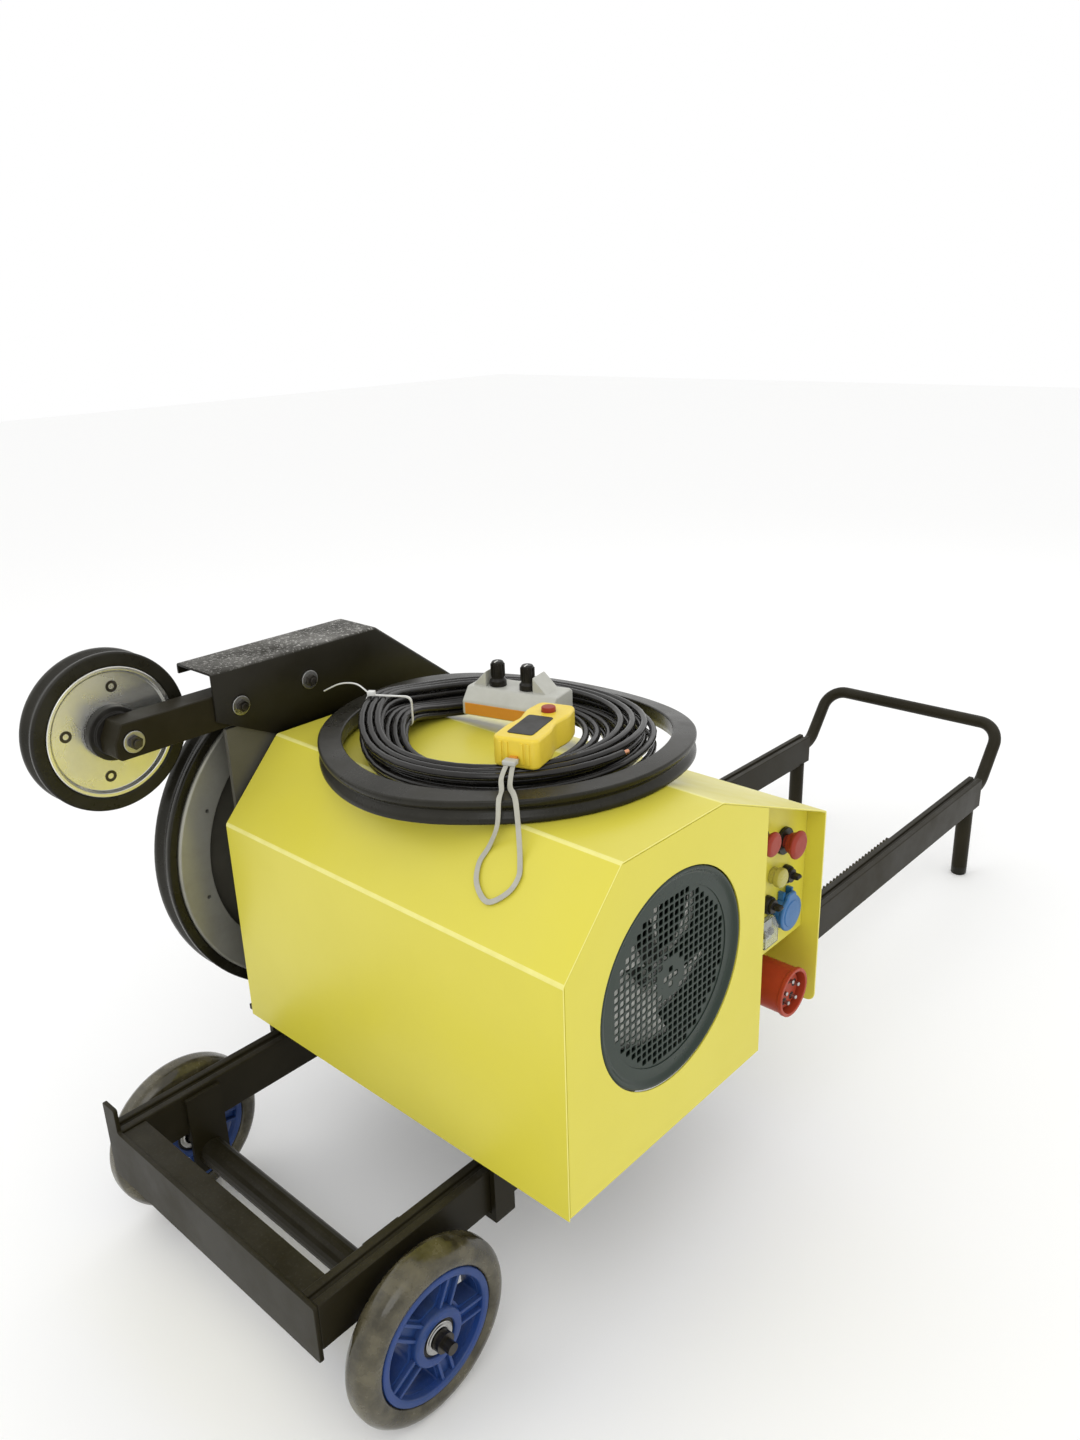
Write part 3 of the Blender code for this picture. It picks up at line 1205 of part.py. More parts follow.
def build_pendant(yellow, red, strap, points, parent):
    height = seat_on_cable(points, PENDANT_X, PENDANT_Y, PENDANT_TURN, PENDANT_WIDTH, PENDANT_LENGTH)
    place = holder("pendant_place", parent, (PENDANT_X, PENDANT_Y, height))
    place.rotation_euler = (0, 0, radians(PENDANT_TURN))
    half = PENDANT_WIDTH / 2
    front = -PENDANT_LENGTH / 2
    waist = half - PENDANT_WAIST
    right_side = [
        (waist, front), (half, front + PENDANT_WAIST), (half, front / 3),
        (waist, 0), (half, -front / 2), (waist, -front),
    ]
    outline = right_side + [(-x, y) for x, y in reversed(right_side)]
    piece = piece_from("pendant_body", prism(outline, "Z", 0, PENDANT_HEIGHT), yellow, place)
    depth = PENDANT_BUTTON_HEIGHT / 2 + PENDANT_BUTTON_TRAVEL + RUN
    bore = rod("Z", PENDANT_BUTTON_RADIUS + RUN, PENDANT_HEIGHT - depth, PENDANT_HEIGHT + depth, 16)
    bmesh.ops.translate(bore, verts=bore.verts, vec=(0, PENDANT_BUTTON_Y, 0))
    cut(piece, bore)
    axis = holder("pendant_stop_axis", place, (0, PENDANT_BUTTON_Y, PENDANT_HEIGHT))
    half_height = PENDANT_BUTTON_HEIGHT / 2
    piece_from("pendant_stop", rod("Z", PENDANT_BUTTON_RADIUS, -half_height, half_height, 16), red, axis)
    bpy.context.view_layer.update()
    ends = []
    for side in (1, -1):
        out = Vector((side * STRAP_EXIT[0], front - 2 * SEAT, STRAP_EXIT[1]))
        stub = out - Vector((0, STRAP_STUB, 0))
        ends.append([place.matrix_local @ out, place.matrix_local @ stub])
    route = [*ends[0], *STRAP_POINTS, *reversed(ends[1])]
    tube("lanyard", smooth_path(route, STRAP_STEPS), STRAP_RADIUS, 2, strap, parent)


def build_machine():
    clear_scene()
    lemon = finish_named("lemon powder coat", (0.73, 0.69, 0.09), 0.35)
    black_paint = finish_named("black paint", (0.022, 0.021, 0.018), 0.5)
    grey_steel = finish_named("dark grey steel", (0.07, 0.07, 0.07), 0.5, 0.4)
    bare_steel = finish_named("bare steel", (0.45, 0.45, 0.44), 0.35, 1.0)
    aluminium = finish_named("turned aluminium", (0.62, 0.62, 0.60), 0.3, 1.0)
    cast_iron = finish_named("cast iron", (0.12, 0.13, 0.13), 0.6, 0.5)
    rubber = finish_named("black rubber", (0.018, 0.018, 0.018), 0.7)
    tyre_rubber = finish_named("dusty tyre rubber", (0.20, 0.18, 0.15), 0.6)
    blue = finish_named("blue hub plastic", (0.03, 0.08, 0.42), 0.45)
    grille = finish_named("grey green cowl", (0.055, 0.085, 0.085), 0.5)
    red = finish_named("red plastic", (0.55, 0.03, 0.02), 0.35)
    yellow = finish_named("yellow plastic", (0.80, 0.52, 0.01), 0.35)
    black_plastic = finish_named("black plastic", (0.02, 0.02, 0.02), 0.4)
    lid_blue = finish_named("blue socket plastic", (0.02, 0.22, 0.62), 0.35)
    clear = finish_named("clear plastic", (0.7, 0.72, 0.7), 0.15)
    grey_plastic = finish_named("grey plastic", (0.42, 0.43, 0.40), 0.45)
    white_nylon = finish_named("white nylon", (0.75, 0.75, 0.73), 0.4)
    webbing = finish_named("grey webbing", (0.52, 0.50, 0.44), 0.8)

    machine = holder("machine", None, ROOT_SHIFT)
    trolley = holder("trolley", machine)
    carriage = holder("carriage", machine, (0, 0, HOOD_CLEARANCE))

    build_rail("near_rail", NEAR_RAIL_X, -1, black_paint, trolley)
    build_rail("far_rail", FAR_RAIL_X, 1, black_paint, trolley)
    build_front_crossmember(black_paint, trolley)
    build_handle(black_paint, trolley)
    build_axle(black_paint, bare_steel, trolley)
    build_wheel("far", WHEEL_CENTRES[0], blue, tyre_rubber, trolley)
    build_wheel("near", WHEEL_CENTRES[1], blue, tyre_rubber, trolley)
    build_rack(bare_steel, trolley)

    build_base_plate(black_paint, carriage)
    for end, centre_y in (("front", FRONT_ROLLER_Y), ("rear", REAR_ROLLER_Y)):
        build_roller_yoke(f"{end}_roller_yoke", centre_y, black_paint, carriage)
        build_roller_set(f"{end}_roller_set", centre_y, bare_steel, carriage)
    build_feed_motor(cast_iron, carriage)
    build_pinion(bare_steel, carriage)
    build_hood(lemon, carriage)
    build_fan_end_plate(lemon, carriage)
    build_control_panel(lemon, carriage)
    build_end_plate(grey_steel, carriage)
    build_guard(black_paint, carriage)
    build_motor(cast_iron, carriage)
    build_cowl(grille, carriage)
    build_rotor(bare_steel, aluminium, rubber, grey_plastic, carriage)
    build_guide_arm(black_paint, carriage)
    build_guide_pulley(bare_steel, aluminium, rubber, black_plastic, carriage)

    build_bezels(black_plastic, carriage)
    build_mushroom("estop_head", ESTOP_PLACE, ESTOP_RADIUS, ESTOP_HEAD_HEIGHT, red, carriage)
    build_mushroom("stop_head", STOP_PLACE, STOP_RADIUS, STOP_HEAD_HEIGHT, red, carriage)
    build_start_button(yellow, carriage)
    for number, place in enumerate(SELECTOR_PLACES, 1):
        build_selector(number, place, black_plastic, carriage)
    build_socket(lid_blue, lid_blue, carriage)
    build_breaker_cover(clear, carriage)
    build_inlet(red, carriage)

    build_spare_tyre(rubber, carriage)
    loops = coil_points()
    build_coil(rubber, white_nylon, loops, carriage)
    build_remote(grey_plastic, black_plastic, loops, carriage)
    build_pendant(yellow, red, webbing, loops, carriage)


build_machine()
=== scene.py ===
"""Looks of the wire saw on its rail trolley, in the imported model's frame, in metres.

Carriage pieces are drawn from the hood's lower front corner at its drive end, and trolley pieces share that
x and y and measure z from the floor, as in the part's source. CARRIAGE and TROLLEY shift them into the frame.
"""

from itertools import product
from math import cos, hypot, pi, radians, sin

import bmesh
import bpy
import numpy as np
from mathutils import Matrix, Vector


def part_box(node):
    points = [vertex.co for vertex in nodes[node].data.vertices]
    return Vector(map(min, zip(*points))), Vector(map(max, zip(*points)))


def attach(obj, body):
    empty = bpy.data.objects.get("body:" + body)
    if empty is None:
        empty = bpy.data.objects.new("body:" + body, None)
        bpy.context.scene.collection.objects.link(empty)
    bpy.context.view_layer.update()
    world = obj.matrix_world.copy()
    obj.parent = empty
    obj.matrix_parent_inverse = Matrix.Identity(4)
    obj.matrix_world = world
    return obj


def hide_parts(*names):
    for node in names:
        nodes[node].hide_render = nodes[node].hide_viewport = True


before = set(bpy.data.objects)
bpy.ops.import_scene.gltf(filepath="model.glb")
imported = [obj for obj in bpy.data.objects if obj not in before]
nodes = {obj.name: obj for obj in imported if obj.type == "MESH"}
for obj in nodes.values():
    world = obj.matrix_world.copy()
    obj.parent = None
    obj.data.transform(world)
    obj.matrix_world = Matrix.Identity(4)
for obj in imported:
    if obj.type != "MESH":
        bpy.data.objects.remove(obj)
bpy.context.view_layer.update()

CARRIAGE = Vector((-0.2575, -0.7271, 0.261))
TROLLEY = Vector((-0.2575, -0.7271, 0))
SHARP = radians(38)
CLEARANCE = 0.0003

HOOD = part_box("hood_shell")[1] - CARRIAGE
HOOD_FRONT, HOOD_REAR = 0.308, 0.306
HOOD_TOP, HOOD_TOP_FRONT, HOOD_TOP_REAR = HOOD.z, 0.098, 0.290
HOOD_CORNER = 0.014
SHEET = 0.002
UNDER_ROOF = SHEET + 0.0004
FOLD_RADIUS = 0.0032
# width under which a face of the hood counts as fold or edge, for the painted highlight
HIGHLIGHT_WIDTH = 0.0016
GUARD_SHEET, GUARD_FOLD = 0.004, 0.005

MOTOR = (0, 0.197, 0.219)
GUIDE = (0, -0.106, 0.461)
COWL_RADIUS, COWL_WALL = 0.1385, 0.002
COWL_RECESS, COWL_LAP = 0.005, 0.0008
GRILLE_PITCH, GRILLE_HOLE = 0.0102, 0.0078
GRILLE_FIELD, GRILLE_LAP = 0.108, 0.005
GRILLE_BLANK = (0.0112, 0.0245)
FAN_BLADES = 6
FAN_BORE, FAN_HUB = 0.0195, 0.031
FAN_ROOT, FAN_SPAN = 0.029, 0.080

FAR_RAIL, NEAR_RAIL = 0.020, 0.440
RAIL_FRONT, RAIL_REAR, RAIL_FLOOR = -0.233, 1.565, 0.156
WHEEL_SPOKES = 5
FIRST_OPENING = radians(28)

RING_X, RING_Y = 0.285, 0.269
RING_HANG = 0.014
FRONT_DROOP_RADIUS, REAR_DROOP_RADIUS = 0.263, 1.020
CABLE_RADIUS, BARE_TIP = 0.00475, 0.009
COIL_RADIUS = 0.195
LOOP_PITCH, LOOP_SPREAD = 0.0102, 0.0053
LOOPS_IN_LAYERS = (6, 6, 3, 3)
POINTS_IN_LOOP = 48
TIE_DEGREES, TIE_LIFT = 210, 0.020
TIE_ANGLE = radians(TIE_DEGREES)
TIE_STEP = round(TIE_DEGREES * POINTS_IN_LOOP / 360)

LENS, FILM_HEIGHT = 27.91, 36
CAMERA_PLACE = (1.0045, -1.4501, 1.226)
CAMERA_AROUND, CAMERA_ABOVE, CAMERA_ROLL = radians(42.78), radians(20.53), radians(-1.86)
LAMP_TARGET = (0, -0.3, 0.4)
FLOOR_REACH = 14


# Camera, floor and light

def add_camera():
    data = bpy.data.cameras.new("camera")
    data.sensor_fit = "VERTICAL"
    data.sensor_height = FILM_HEIGHT
    data.lens = LENS
    camera = bpy.data.objects.new("camera", data)
    level = cos(CAMERA_ABOVE)
    back = Vector((sin(CAMERA_AROUND) * level, -cos(CAMERA_AROUND) * level, sin(CAMERA_ABOVE)))
    right = (-back).cross(Vector((0, 0, 1))).normalized()
    up = right.cross(-back)
    across = cos(CAMERA_ROLL) * right + sin(CAMERA_ROLL) * up
    upward = -sin(CAMERA_ROLL) * right + cos(CAMERA_ROLL) * up
    turn = Matrix((across, upward, back)).transposed().to_4x4()
    camera.matrix_world = Matrix.Translation(CAMERA_PLACE) @ turn
    bpy.context.collection.objects.link(camera)
    bpy.context.scene.camera = camera


def add_lamp(name, place, size, power, target=LAMP_TARGET):
    data = bpy.data.lights.new(name, "AREA")
    data.shape = "DISK"
    data.size = size
    data.energy = power
    lamp = bpy.data.objects.new(name, data)
    lamp.location = place
    aim = Vector(target) - Vector(place)
    lamp.rotation_euler = aim.to_track_quat("-Z", "Y").to_euler()
    bpy.context.collection.objects.link(lamp)


def add_stage():
    shape = bmesh.new()
    bmesh.ops.create_grid(shape, x_segments=1, y_segments=1, size=FLOOR_REACH)
    mesh = bpy.data.meshes.new("floor")
    shape.to_mesh(mesh)
    shape.free()
    floor = bpy.data.objects.new("floor", mesh)
    bpy.context.collection.objects.link(floor)
    pale = bpy.data.materials.new("pale floor")
    pale.use_nodes = True
    shader = pale.node_tree.nodes["Principled BSDF"]
    shader.inputs["Base Color"].default_value = (0.97, 0.97, 0.965, 1)
    shader.inputs["Roughness"].default_value = 0.95
    shader.inputs["Specular IOR Level"].default_value = 0.05
    mesh.materials.append(pale)
    world = bpy.data.worlds.new("studio")
    world.use_nodes = True
    tree = world.node_tree
    sky = tree.nodes["Background"]
    sky.inputs["Color"].default_value = (1, 1, 1, 1)
    seen = tree.nodes.new("ShaderNodeLightPath").outputs["Is Camera Ray"]
    tree.links.new(ranged(tree, seen, 0, 1, 0.99, 1.0), sky.inputs["Strength"])
    bpy.context.scene.world = world
    bpy.context.scene.view_settings.view_transform = "Standard"
    add_lamp("key", (1.9, -2.6, 3.2), 2.4, 24)
    add_lamp("fill", (-2.8, -2.2, 2.4), 2.6, 8)
    add_lamp("back", (-0.6, 2.8, 2.8), 2.4, 8, target=(0, 0, 0.4))


# Shared effects

def new_group(name, inputs, outputs):
    tree = bpy.data.node_groups.new(name, "ShaderNodeTree")
    for label, kind in inputs:
        tree.interface.new_socket(label, in_out="INPUT", socket_type=kind)
    for label, kind in outputs:
        tree.interface.new_socket(label, in_out="OUTPUT", socket_type=kind)
    return tree, tree.nodes.new("NodeGroupInput"), tree.nodes.new("NodeGroupOutput")


def noise_node(tree, detail, roughness=0.55):
    noise = tree.nodes.new("ShaderNodeTexNoise")
    noise.inputs["Detail"].default_value = detail
    noise.inputs["Roughness"].default_value = roughness
    coords = tree.nodes.new("ShaderNodeTexCoord")
    tree.links.new(coords.outputs["Object"], noise.inputs["Vector"])
    return noise


def feed(tree, value, socket):
    """A socket set to a number or a colour, or linked to another node's output."""
    if isinstance(value, (int, float)):
        socket.default_value = value
    elif isinstance(value, tuple):
        socket.default_value = (*value, 1)
    else:
        tree.links.new(value, socket)


def ranged(tree, value, low, high, start=0.0, end=1.0):
    node = tree.nodes.new("ShaderNodeMapRange")
    values = {"Value": value, "From Min": low, "From Max": high, "To Min": start, "To Max": end}
    for label, number in values.items():
        feed(tree, number, node.inputs[label])
    return node.outputs["Result"]


def blended(tree, share, first, second):
    node = tree.nodes.new("ShaderNodeMix")
    node.data_type = "RGBA"
    tree.links.new(share, node.inputs["Factor"])
    for label, colour in (("A", first), ("B", second)):
        socket = next(s for s in node.inputs if s.name == label and s.type == "RGBA")
        feed(tree, colour, socket)
    return next(s for s in node.outputs if s.type == "RGBA")


def multiplied(tree, first, second):
    node = tree.nodes.new("ShaderNodeMath")
    node.operation = "MULTIPLY"
    for socket, value in zip(node.inputs, (first, second)):
        feed(tree, value, socket)
    return node.outputs["Value"]


def bumped(tree, height, strength, depth):
    bump = tree.nodes.new("ShaderNodeBump")
    for label, value in (("Height", height), ("Strength", strength), ("Distance", depth)):
        feed(tree, value, bump.inputs[label])
    return bump.outputs["Normal"]


def mottle_group():
    """Two colours in soft patches, with the patch mask for roughness."""
    inputs = (("First", "NodeSocketColor"), ("Second", "NodeSocketColor"),
              ("Scale", "NodeSocketFloat"), ("Share", "NodeSocketFloat"))
    outputs = (("Color", "NodeSocketColor"), ("Mask", "NodeSocketFloat"))
    tree, given, made = new_group("mottle", inputs, outputs)
    noise = noise_node(tree, 7, 0.62)
    tree.links.new(given.outputs["Scale"], noise.inputs["Scale"])
    patches = ranged(tree, noise.outputs["Fac"], 0.38, 0.68)
    mask = multiplied(tree, patches, given.outputs["Share"])
    colour = blended(tree, mask, given.outputs["First"], given.outputs["Second"])
    tree.links.new(colour, made.inputs["Color"])
    tree.links.new(patches, made.inputs["Mask"])
    return tree


def grain_group():
    """A fine uneven surface."""
    inputs = (("Scale", "NodeSocketFloat"), ("Strength", "NodeSocketFloat"), ("Height", "NodeSocketFloat"))
    tree, given, made = new_group("grain", inputs, (("Normal", "NodeSocketVector"),))
    noise = noise_node(tree, 3)
    tree.links.new(given.outputs["Scale"], noise.inputs["Scale"])
    normal = bumped(tree, noise.outputs["Fac"], given.outputs["Strength"], given.outputs["Height"])
    tree.links.new(normal, made.inputs["Normal"])
    return tree


def dust_group():
    """Dust on what faces up: a thin film with coarse specks in it."""
    inputs = (("Clean", "NodeSocketColor"), ("Dust", "NodeSocketColor"),
              ("Film", "NodeSocketFloat"), ("Specks", "NodeSocketFloat"))
    outputs = (("Color", "NodeSocketColor"), ("Mask", "NodeSocketFloat"))
    tree, given, made = new_group("dust", inputs, outputs)
    normal = tree.nodes.new("ShaderNodeNewGeometry")
    split = tree.nodes.new("ShaderNodeSeparateXYZ")
    tree.links.new(normal.outputs["Normal"], split.inputs["Vector"])
    upward = ranged(tree, split.outputs["Z"], 0.25, 0.95)
    broad = noise_node(tree, 6, 0.6)
    broad.inputs["Scale"].default_value = 14
    fine = noise_node(tree, 4, 0.7)
    fine.inputs["Scale"].default_value = 240
    film = multiplied(tree, ranged(tree, broad.outputs["Fac"], 0.3, 0.75), given.outputs["Film"])
    specks = multiplied(tree, ranged(tree, fine.outputs["Fac"], 0.54, 0.68), given.outputs["Specks"])
    total = tree.nodes.new("ShaderNodeMath")
    total.operation = "ADD"
    total.use_clamp = True
    tree.links.new(film, total.inputs[0])
    tree.links.new(specks, total.inputs[1])
    mask = multiplied(tree, upward, total.outputs["Value"])
    colour = blended(tree, mask, given.outputs["Clean"], given.outputs["Dust"])
    tree.links.new(colour, made.inputs["Color"])
    tree.links.new(mask, made.inputs["Mask"])
    return tree


MOTTLE = mottle_group()
GRAIN = grain_group()
DUST = dust_group()
DUST_COLOUR = (0.50, 0.49, 0.46)


def use_group(tree, group, **values):
    node = tree.nodes.new("ShaderNodeGroup")
    node.node_tree = group
    for label, value in values.items():
        feed(tree, value, node.inputs[label])
    return node


# Materials

def surface(name, first, second, roughness, share=0.6, scale=9, spread=0.08, metallic=0.0,
            grain=(700, 0.12, 0.0003), dust=None, **constants):
    """A finish with patchy colour and roughness, a fine grain, and dust where it is asked for."""
    material = bpy.data.materials.new(name)
    material.use_nodes = True
    tree = material.node_tree
    shader = tree.nodes["Principled BSDF"]
    patches = use_group(tree, MOTTLE, First=first, Second=second, Scale=scale, Share=share)
    colour = patches.outputs["Color"]
    rough = ranged(tree, patches.outputs["Mask"], 0, 1, roughness - spread, roughness + spread)
    if dust:
        film, specks = dust
        dusty = use_group(tree, DUST, Clean=colour, Dust=DUST_COLOUR, Film=film, Specks=specks)
        colour = dusty.outputs["Color"]
        rough = ranged(tree, dusty.outputs["Mask"], 0, 1, rough, 0.85)
    tree.links.new(colour, shader.inputs["Base Color"])
    tree.links.new(rough, shader.inputs["Roughness"])
    shader.inputs["Metallic"].default_value = metallic
    texture = use_group(tree, GRAIN, Scale=grain[0], Strength=grain[1], Height=grain[2])
    tree.links.new(texture.outputs["Normal"], shader.inputs["Normal"])
    for label, value in constants.items():
        shader.inputs[label.replace("_", " ")].default_value = value
    return material


def turned_metal(name, first, second, roughness, centre, metallic):
    """Metal with the fine rings that a lathe leaves about the x axis through a centre."""
    material = surface(name, first, second, roughness, share=0.7, scale=14, spread=0.07,
                       metallic=metallic)
    tree = material.node_tree
    shader = tree.nodes["Principled BSDF"]
    coords = tree.nodes.new("ShaderNodeTexCoord")
    shift = tree.nodes.new("ShaderNodeMapping")
    shift.inputs["Location"].default_value = -Vector(centre)
    rings = tree.nodes.new("ShaderNodeTexWave")
    rings.wave_type = "RINGS"
    rings.rings_direction = "X"
    rings.inputs["Scale"].default_value = 160
    rings.inputs["Distortion"].default_value = 0.4
    tree.links.new(coords.outputs["Object"], shift.inputs["Vector"])
    tree.links.new(shift.outputs["Vector"], rings.inputs["Vector"])
    tree.links.new(bumped(tree, rings.outputs["Fac"], 0.12, 0.0002), shader.inputs["Normal"])
    return material


def woven(name, first, second):
    """Flat woven strap: fine threads across each other."""
    material = surface(name, first, second, 0.85, share=0.5, scale=60, spread=0.05)
    tree = material.node_tree
    shader = tree.nodes["Principled BSDF"]
    coords = tree.nodes.new("ShaderNodeTexCoord")
    heights = []
    for direction in ("DIAGONAL", "Z"):
        wave = tree.nodes.new("ShaderNodeTexWave")
        wave.bands_direction = direction
        wave.inputs["Scale"].default_value = 260
        tree.links.new(coords.outputs["Object"], wave.inputs["Vector"])
        heights.append(wave.outputs["Fac"])
    tree.links.new(bumped(tree, multiplied(tree, *heights), 0.6, 0.0004), shader.inputs["Normal"])
    return material


DRIVE_CENTRE = CARRIAGE + Vector(MOTOR)
GUIDE_CENTRE = CARRIAGE + Vector(GUIDE)

lemon = surface("lemon powder coat", (0.685, 0.612, 0.062), (0.65, 0.580, 0.068), 0.36, scale=5,
                grain=(420, 0.015, 0.0004), dust=(0.03, 0.0), Specular_IOR_Level=0.4)
# painted highlight: a paler lemon for the narrow faces along the hood's folds and edges
lemon_edge_highlight = surface("lemon edge painted highlight", (0.82, 0.77, 0.24), (0.74, 0.68, 0.17), 0.40, scale=40)
black_paint = surface("satin black paint", (0.014, 0.0115, 0.005), (0.025, 0.021, 0.011), 0.42,
                      dust=(0.035, 0.02),
                      Specular_IOR_Level=0.12)
scuffed = surface("scuffed black paint", (0.014, 0.012, 0.007), (0.024, 0.022, 0.016), 0.46,
                  dust=(0.42, 1.0),
                  Specular_IOR_Level=0.16)
grey_steel = surface("dark grey plate", (0.072, 0.068, 0.052), (0.105, 0.100, 0.078), 0.45,
                     Specular_IOR_Level=0.3)
bare_steel = surface("bare steel", (0.50, 0.50, 0.49), (0.32, 0.31, 0.29), 0.32, scale=30, metallic=1.0)
dark_steel = surface("oiled steel", (0.055, 0.050, 0.042), (0.10, 0.09, 0.075), 0.36, scale=40,
                     metallic=0.9)
copper = surface("bare copper", (0.72, 0.36, 0.22), (0.58, 0.27, 0.15), 0.38, scale=80, metallic=0.9)
aluminium = turned_metal("brushed rim", (0.34, 0.335, 0.285), (0.23, 0.225, 0.185), 0.42, DRIVE_CENTRE,
                         0.45)
guide_metal = turned_metal("turned guide disc", (0.80, 0.80, 0.76), (0.64, 0.63, 0.57), 0.27,
                           GUIDE_CENTRE, 0.9)
casting = surface("painted casting", (0.060, 0.066, 0.060), (0.10, 0.105, 0.095), 0.5, grain=(260, 0.3,
                  0.0008))
rubber = surface("black rubber", (0.011, 0.010, 0.006), (0.023, 0.021, 0.014), 0.30, scale=18,
                 dust=(0.04, 0.02),
                 Specular_IOR_Level=0.22)
cable_black = surface("cable sheath", (0.009, 0.008, 0.007), (0.020, 0.018, 0.015), 0.24, scale=40,
                      grain=(900, 0.1, 0.0002), Specular_IOR_Level=0.4)
tyre_rubber = surface("dirty tyre", (0.036, 0.031, 0.016), (0.115, 0.101, 0.060), 0.24, share=0.9,
                      scale=30,
                      spread=0.14, grain=(300, 0.25, 0.0005))
blue_hub = surface("blue hub plastic", (0.011, 0.043, 0.19), (0.020, 0.048, 0.12), 0.36, scale=22,
                   dust=(0.06, 0.03),
                   Specular_IOR_Level=0.35)
cowl_paint = surface("slate green paint", (0.024, 0.036, 0.028), (0.032, 0.045, 0.036), 0.34,
                     Specular_IOR_Level=0.22)
fan_grey = surface("fan plastic", (0.80, 0.80, 0.75), (0.66, 0.66, 0.60), 0.45, scale=20)
red = surface("red plastic", (0.31, 0.040, 0.022), (0.25, 0.034, 0.020), 0.42, scale=40,
              Specular_IOR_Level=0.2)
inlet_red = surface("red inlet plastic", (0.38, 0.046, 0.017), (0.31, 0.037, 0.015), 0.42, scale=40,
                    Specular_IOR_Level=0.25)
yellow = surface("yellow plastic", (0.80, 0.60, 0.045), (0.72, 0.53, 0.040), 0.36, scale=30)
pale_yellow = surface("pale yellow plastic", (0.42, 0.38, 0.075), (0.35, 0.31, 0.065), 0.30, scale=60)
orange = surface("orange band", (0.66, 0.27, 0.030), (0.56, 0.22, 0.026), 0.42, scale=30)
black_plastic = surface("black plastic", (0.013, 0.012, 0.010), (0.024, 0.022, 0.018), 0.36, scale=40,
                        Specular_IOR_Level=0.22)
blue_socket = surface("blue socket plastic", (0.022, 0.130, 0.33), (0.018, 0.105, 0.27), 0.38, scale=40)
grey_plastic = surface("grey plastic", (0.50, 0.50, 0.45), (0.42, 0.42, 0.37), 0.45, scale=30)
white_plastic = surface("white plastic", (0.74, 0.74, 0.71), (0.62, 0.62, 0.58), 0.42, scale=40)
webbing = woven("grey webbing", (0.46, 0.45, 0.38), (0.36, 0.35, 0.29))
clear = surface("clear plastic", (0.86, 0.89, 0.87), (0.80, 0.83, 0.81), 0.10, scale=30, spread=0.05,
                grain=(200, 0.03, 0.0002), Transmission_Weight=0.92, IOR=1.46)


# Mesh tools

AXES = {"X": (0, 1, 2), "Y": (1, 0, 2), "Z": (2, 0, 1)}


def point_on(axis, along, a, b):
    place = [0, 0, 0]
    first, second, third = AXES[axis]
    place[first], place[second], place[third] = along, a, b
    return Vector(place)


def prism(outline, axis, start, end):
    shape = bmesh.new()
    face = shape.faces.new([shape.verts.new(point_on(axis, start, a, b)) for a, b in outline])
    grown = bmesh.ops.extrude_face_region(shape, geom=[face])["geom"]
    moved = [item for item in grown if isinstance(item, bmesh.types.BMVert)]
    bmesh.ops.translate(shape, verts=moved, vec=point_on(axis, end - start, 0, 0))
    bmesh.ops.recalc_face_normals(shape, faces=shape.faces)
    return shape


def box(low, high):
    outline = ((low[0], low[1]), (high[0], low[1]), (high[0], high[1]), (low[0], high[1]))
    return prism(outline, "Z", low[2], high[2])


def turned(profile, axis, steps, ring=False):
    shape = bmesh.new()
    corners = [shape.verts.new(point_on(axis, along, 0, -radius)) for along, radius in profile]
    edges = [shape.edges.new(pair) for pair in zip(corners, corners[1:])]
    if ring:
        edges.append(shape.edges.new((corners[-1], corners[0])))
    whole = point_on(axis, 1, 0, 0)
    bmesh.ops.spin(shape, geom=corners + edges, axis=whole, angle=2 * pi, steps=steps, use_merge=True)
    bmesh.ops.remove_doubles(shape, verts=shape.verts, dist=1e-6)
    bmesh.ops.recalc_face_normals(shape, faces=shape.faces)
    return shape


def rod(axis, radius, start, end, steps=32, edge=0.0006):
    profile = ((start, 0), (start, radius), (end, radius), (end, 0))
    return turned(eased(profile, edge), axis, steps)


def polar(radius, angle):
    return radius * cos(angle), radius * sin(angle)


def circle(radius, count, centre=(0, 0), turn=0.0):
    angles = [turn + 2 * pi * step / count for step in range(count)]
    return [(centre[0] + radius * cos(angle), centre[1] + radius * sin(angle)) for angle in angles]


def eased(points, radius, steps=3, closed=False):
    """The same outline with its corners rounded."""
    made = []
    count = len(points)
    for number, point in enumerate(points):
        if not closed and number in (0, count - 1):
            made.append(tuple(point))
            continue
        corner = Vector(point)
        back = Vector(points[number - 1]) - corner
        ahead = Vector(points[(number + 1) % count]) - corner
        reach = min(radius, 0.45 * back.length, 0.45 * ahead.length)
        start = corner + back.normalized() * reach
        end = corner + ahead.normalized() * reach
        for step in range(steps + 1):
            t = step / steps
            made.append(tuple(start * (1 - t) ** 2 + corner * (2 * t * (1 - t)) + end * t * t))
    return made


def rounded_edges(shape, edges, width, segments):
    bmesh.ops.bevel(shape, geom=edges, offset=width, offset_type="OFFSET", segments=segments,
                    profile=0.5, affect="EDGES", clamp_overlap=True, material=-1)
    return shape


def softened(shape, width, segments=2):
    sharp = [e for e in shape.edges if len(e.link_faces) == 2 and e.calc_face_angle(0) > SHARP]
    return rounded_edges(shape, sharp, width, segments)


def block(low, high, edge, segments=2):
    return softened(box(low, high), edge, segments)


def lathed(profile, ease, steps, corners=3, axis="X"):
    """A solid turned about an axis, from a line that starts and ends on it."""
    return turned(eased(profile, ease, corners), axis, steps)


def hoop(profile, ease, steps, corners=3, axis="X"):
    """A ring turned about an axis, from a closed outline."""
    return turned(eased(profile, ease, corners, closed=True), axis, steps, ring=True)


def shifted(shape, vec):
    bmesh.ops.translate(shape, verts=shape.verts, vec=vec)
    return shape


def spun(shape, axis, angle, centre=(0, 0, 0)):
    bmesh.ops.rotate(shape, verts=shape.verts, cent=centre, matrix=Matrix.Rotation(angle, 3, axis))
    return shape


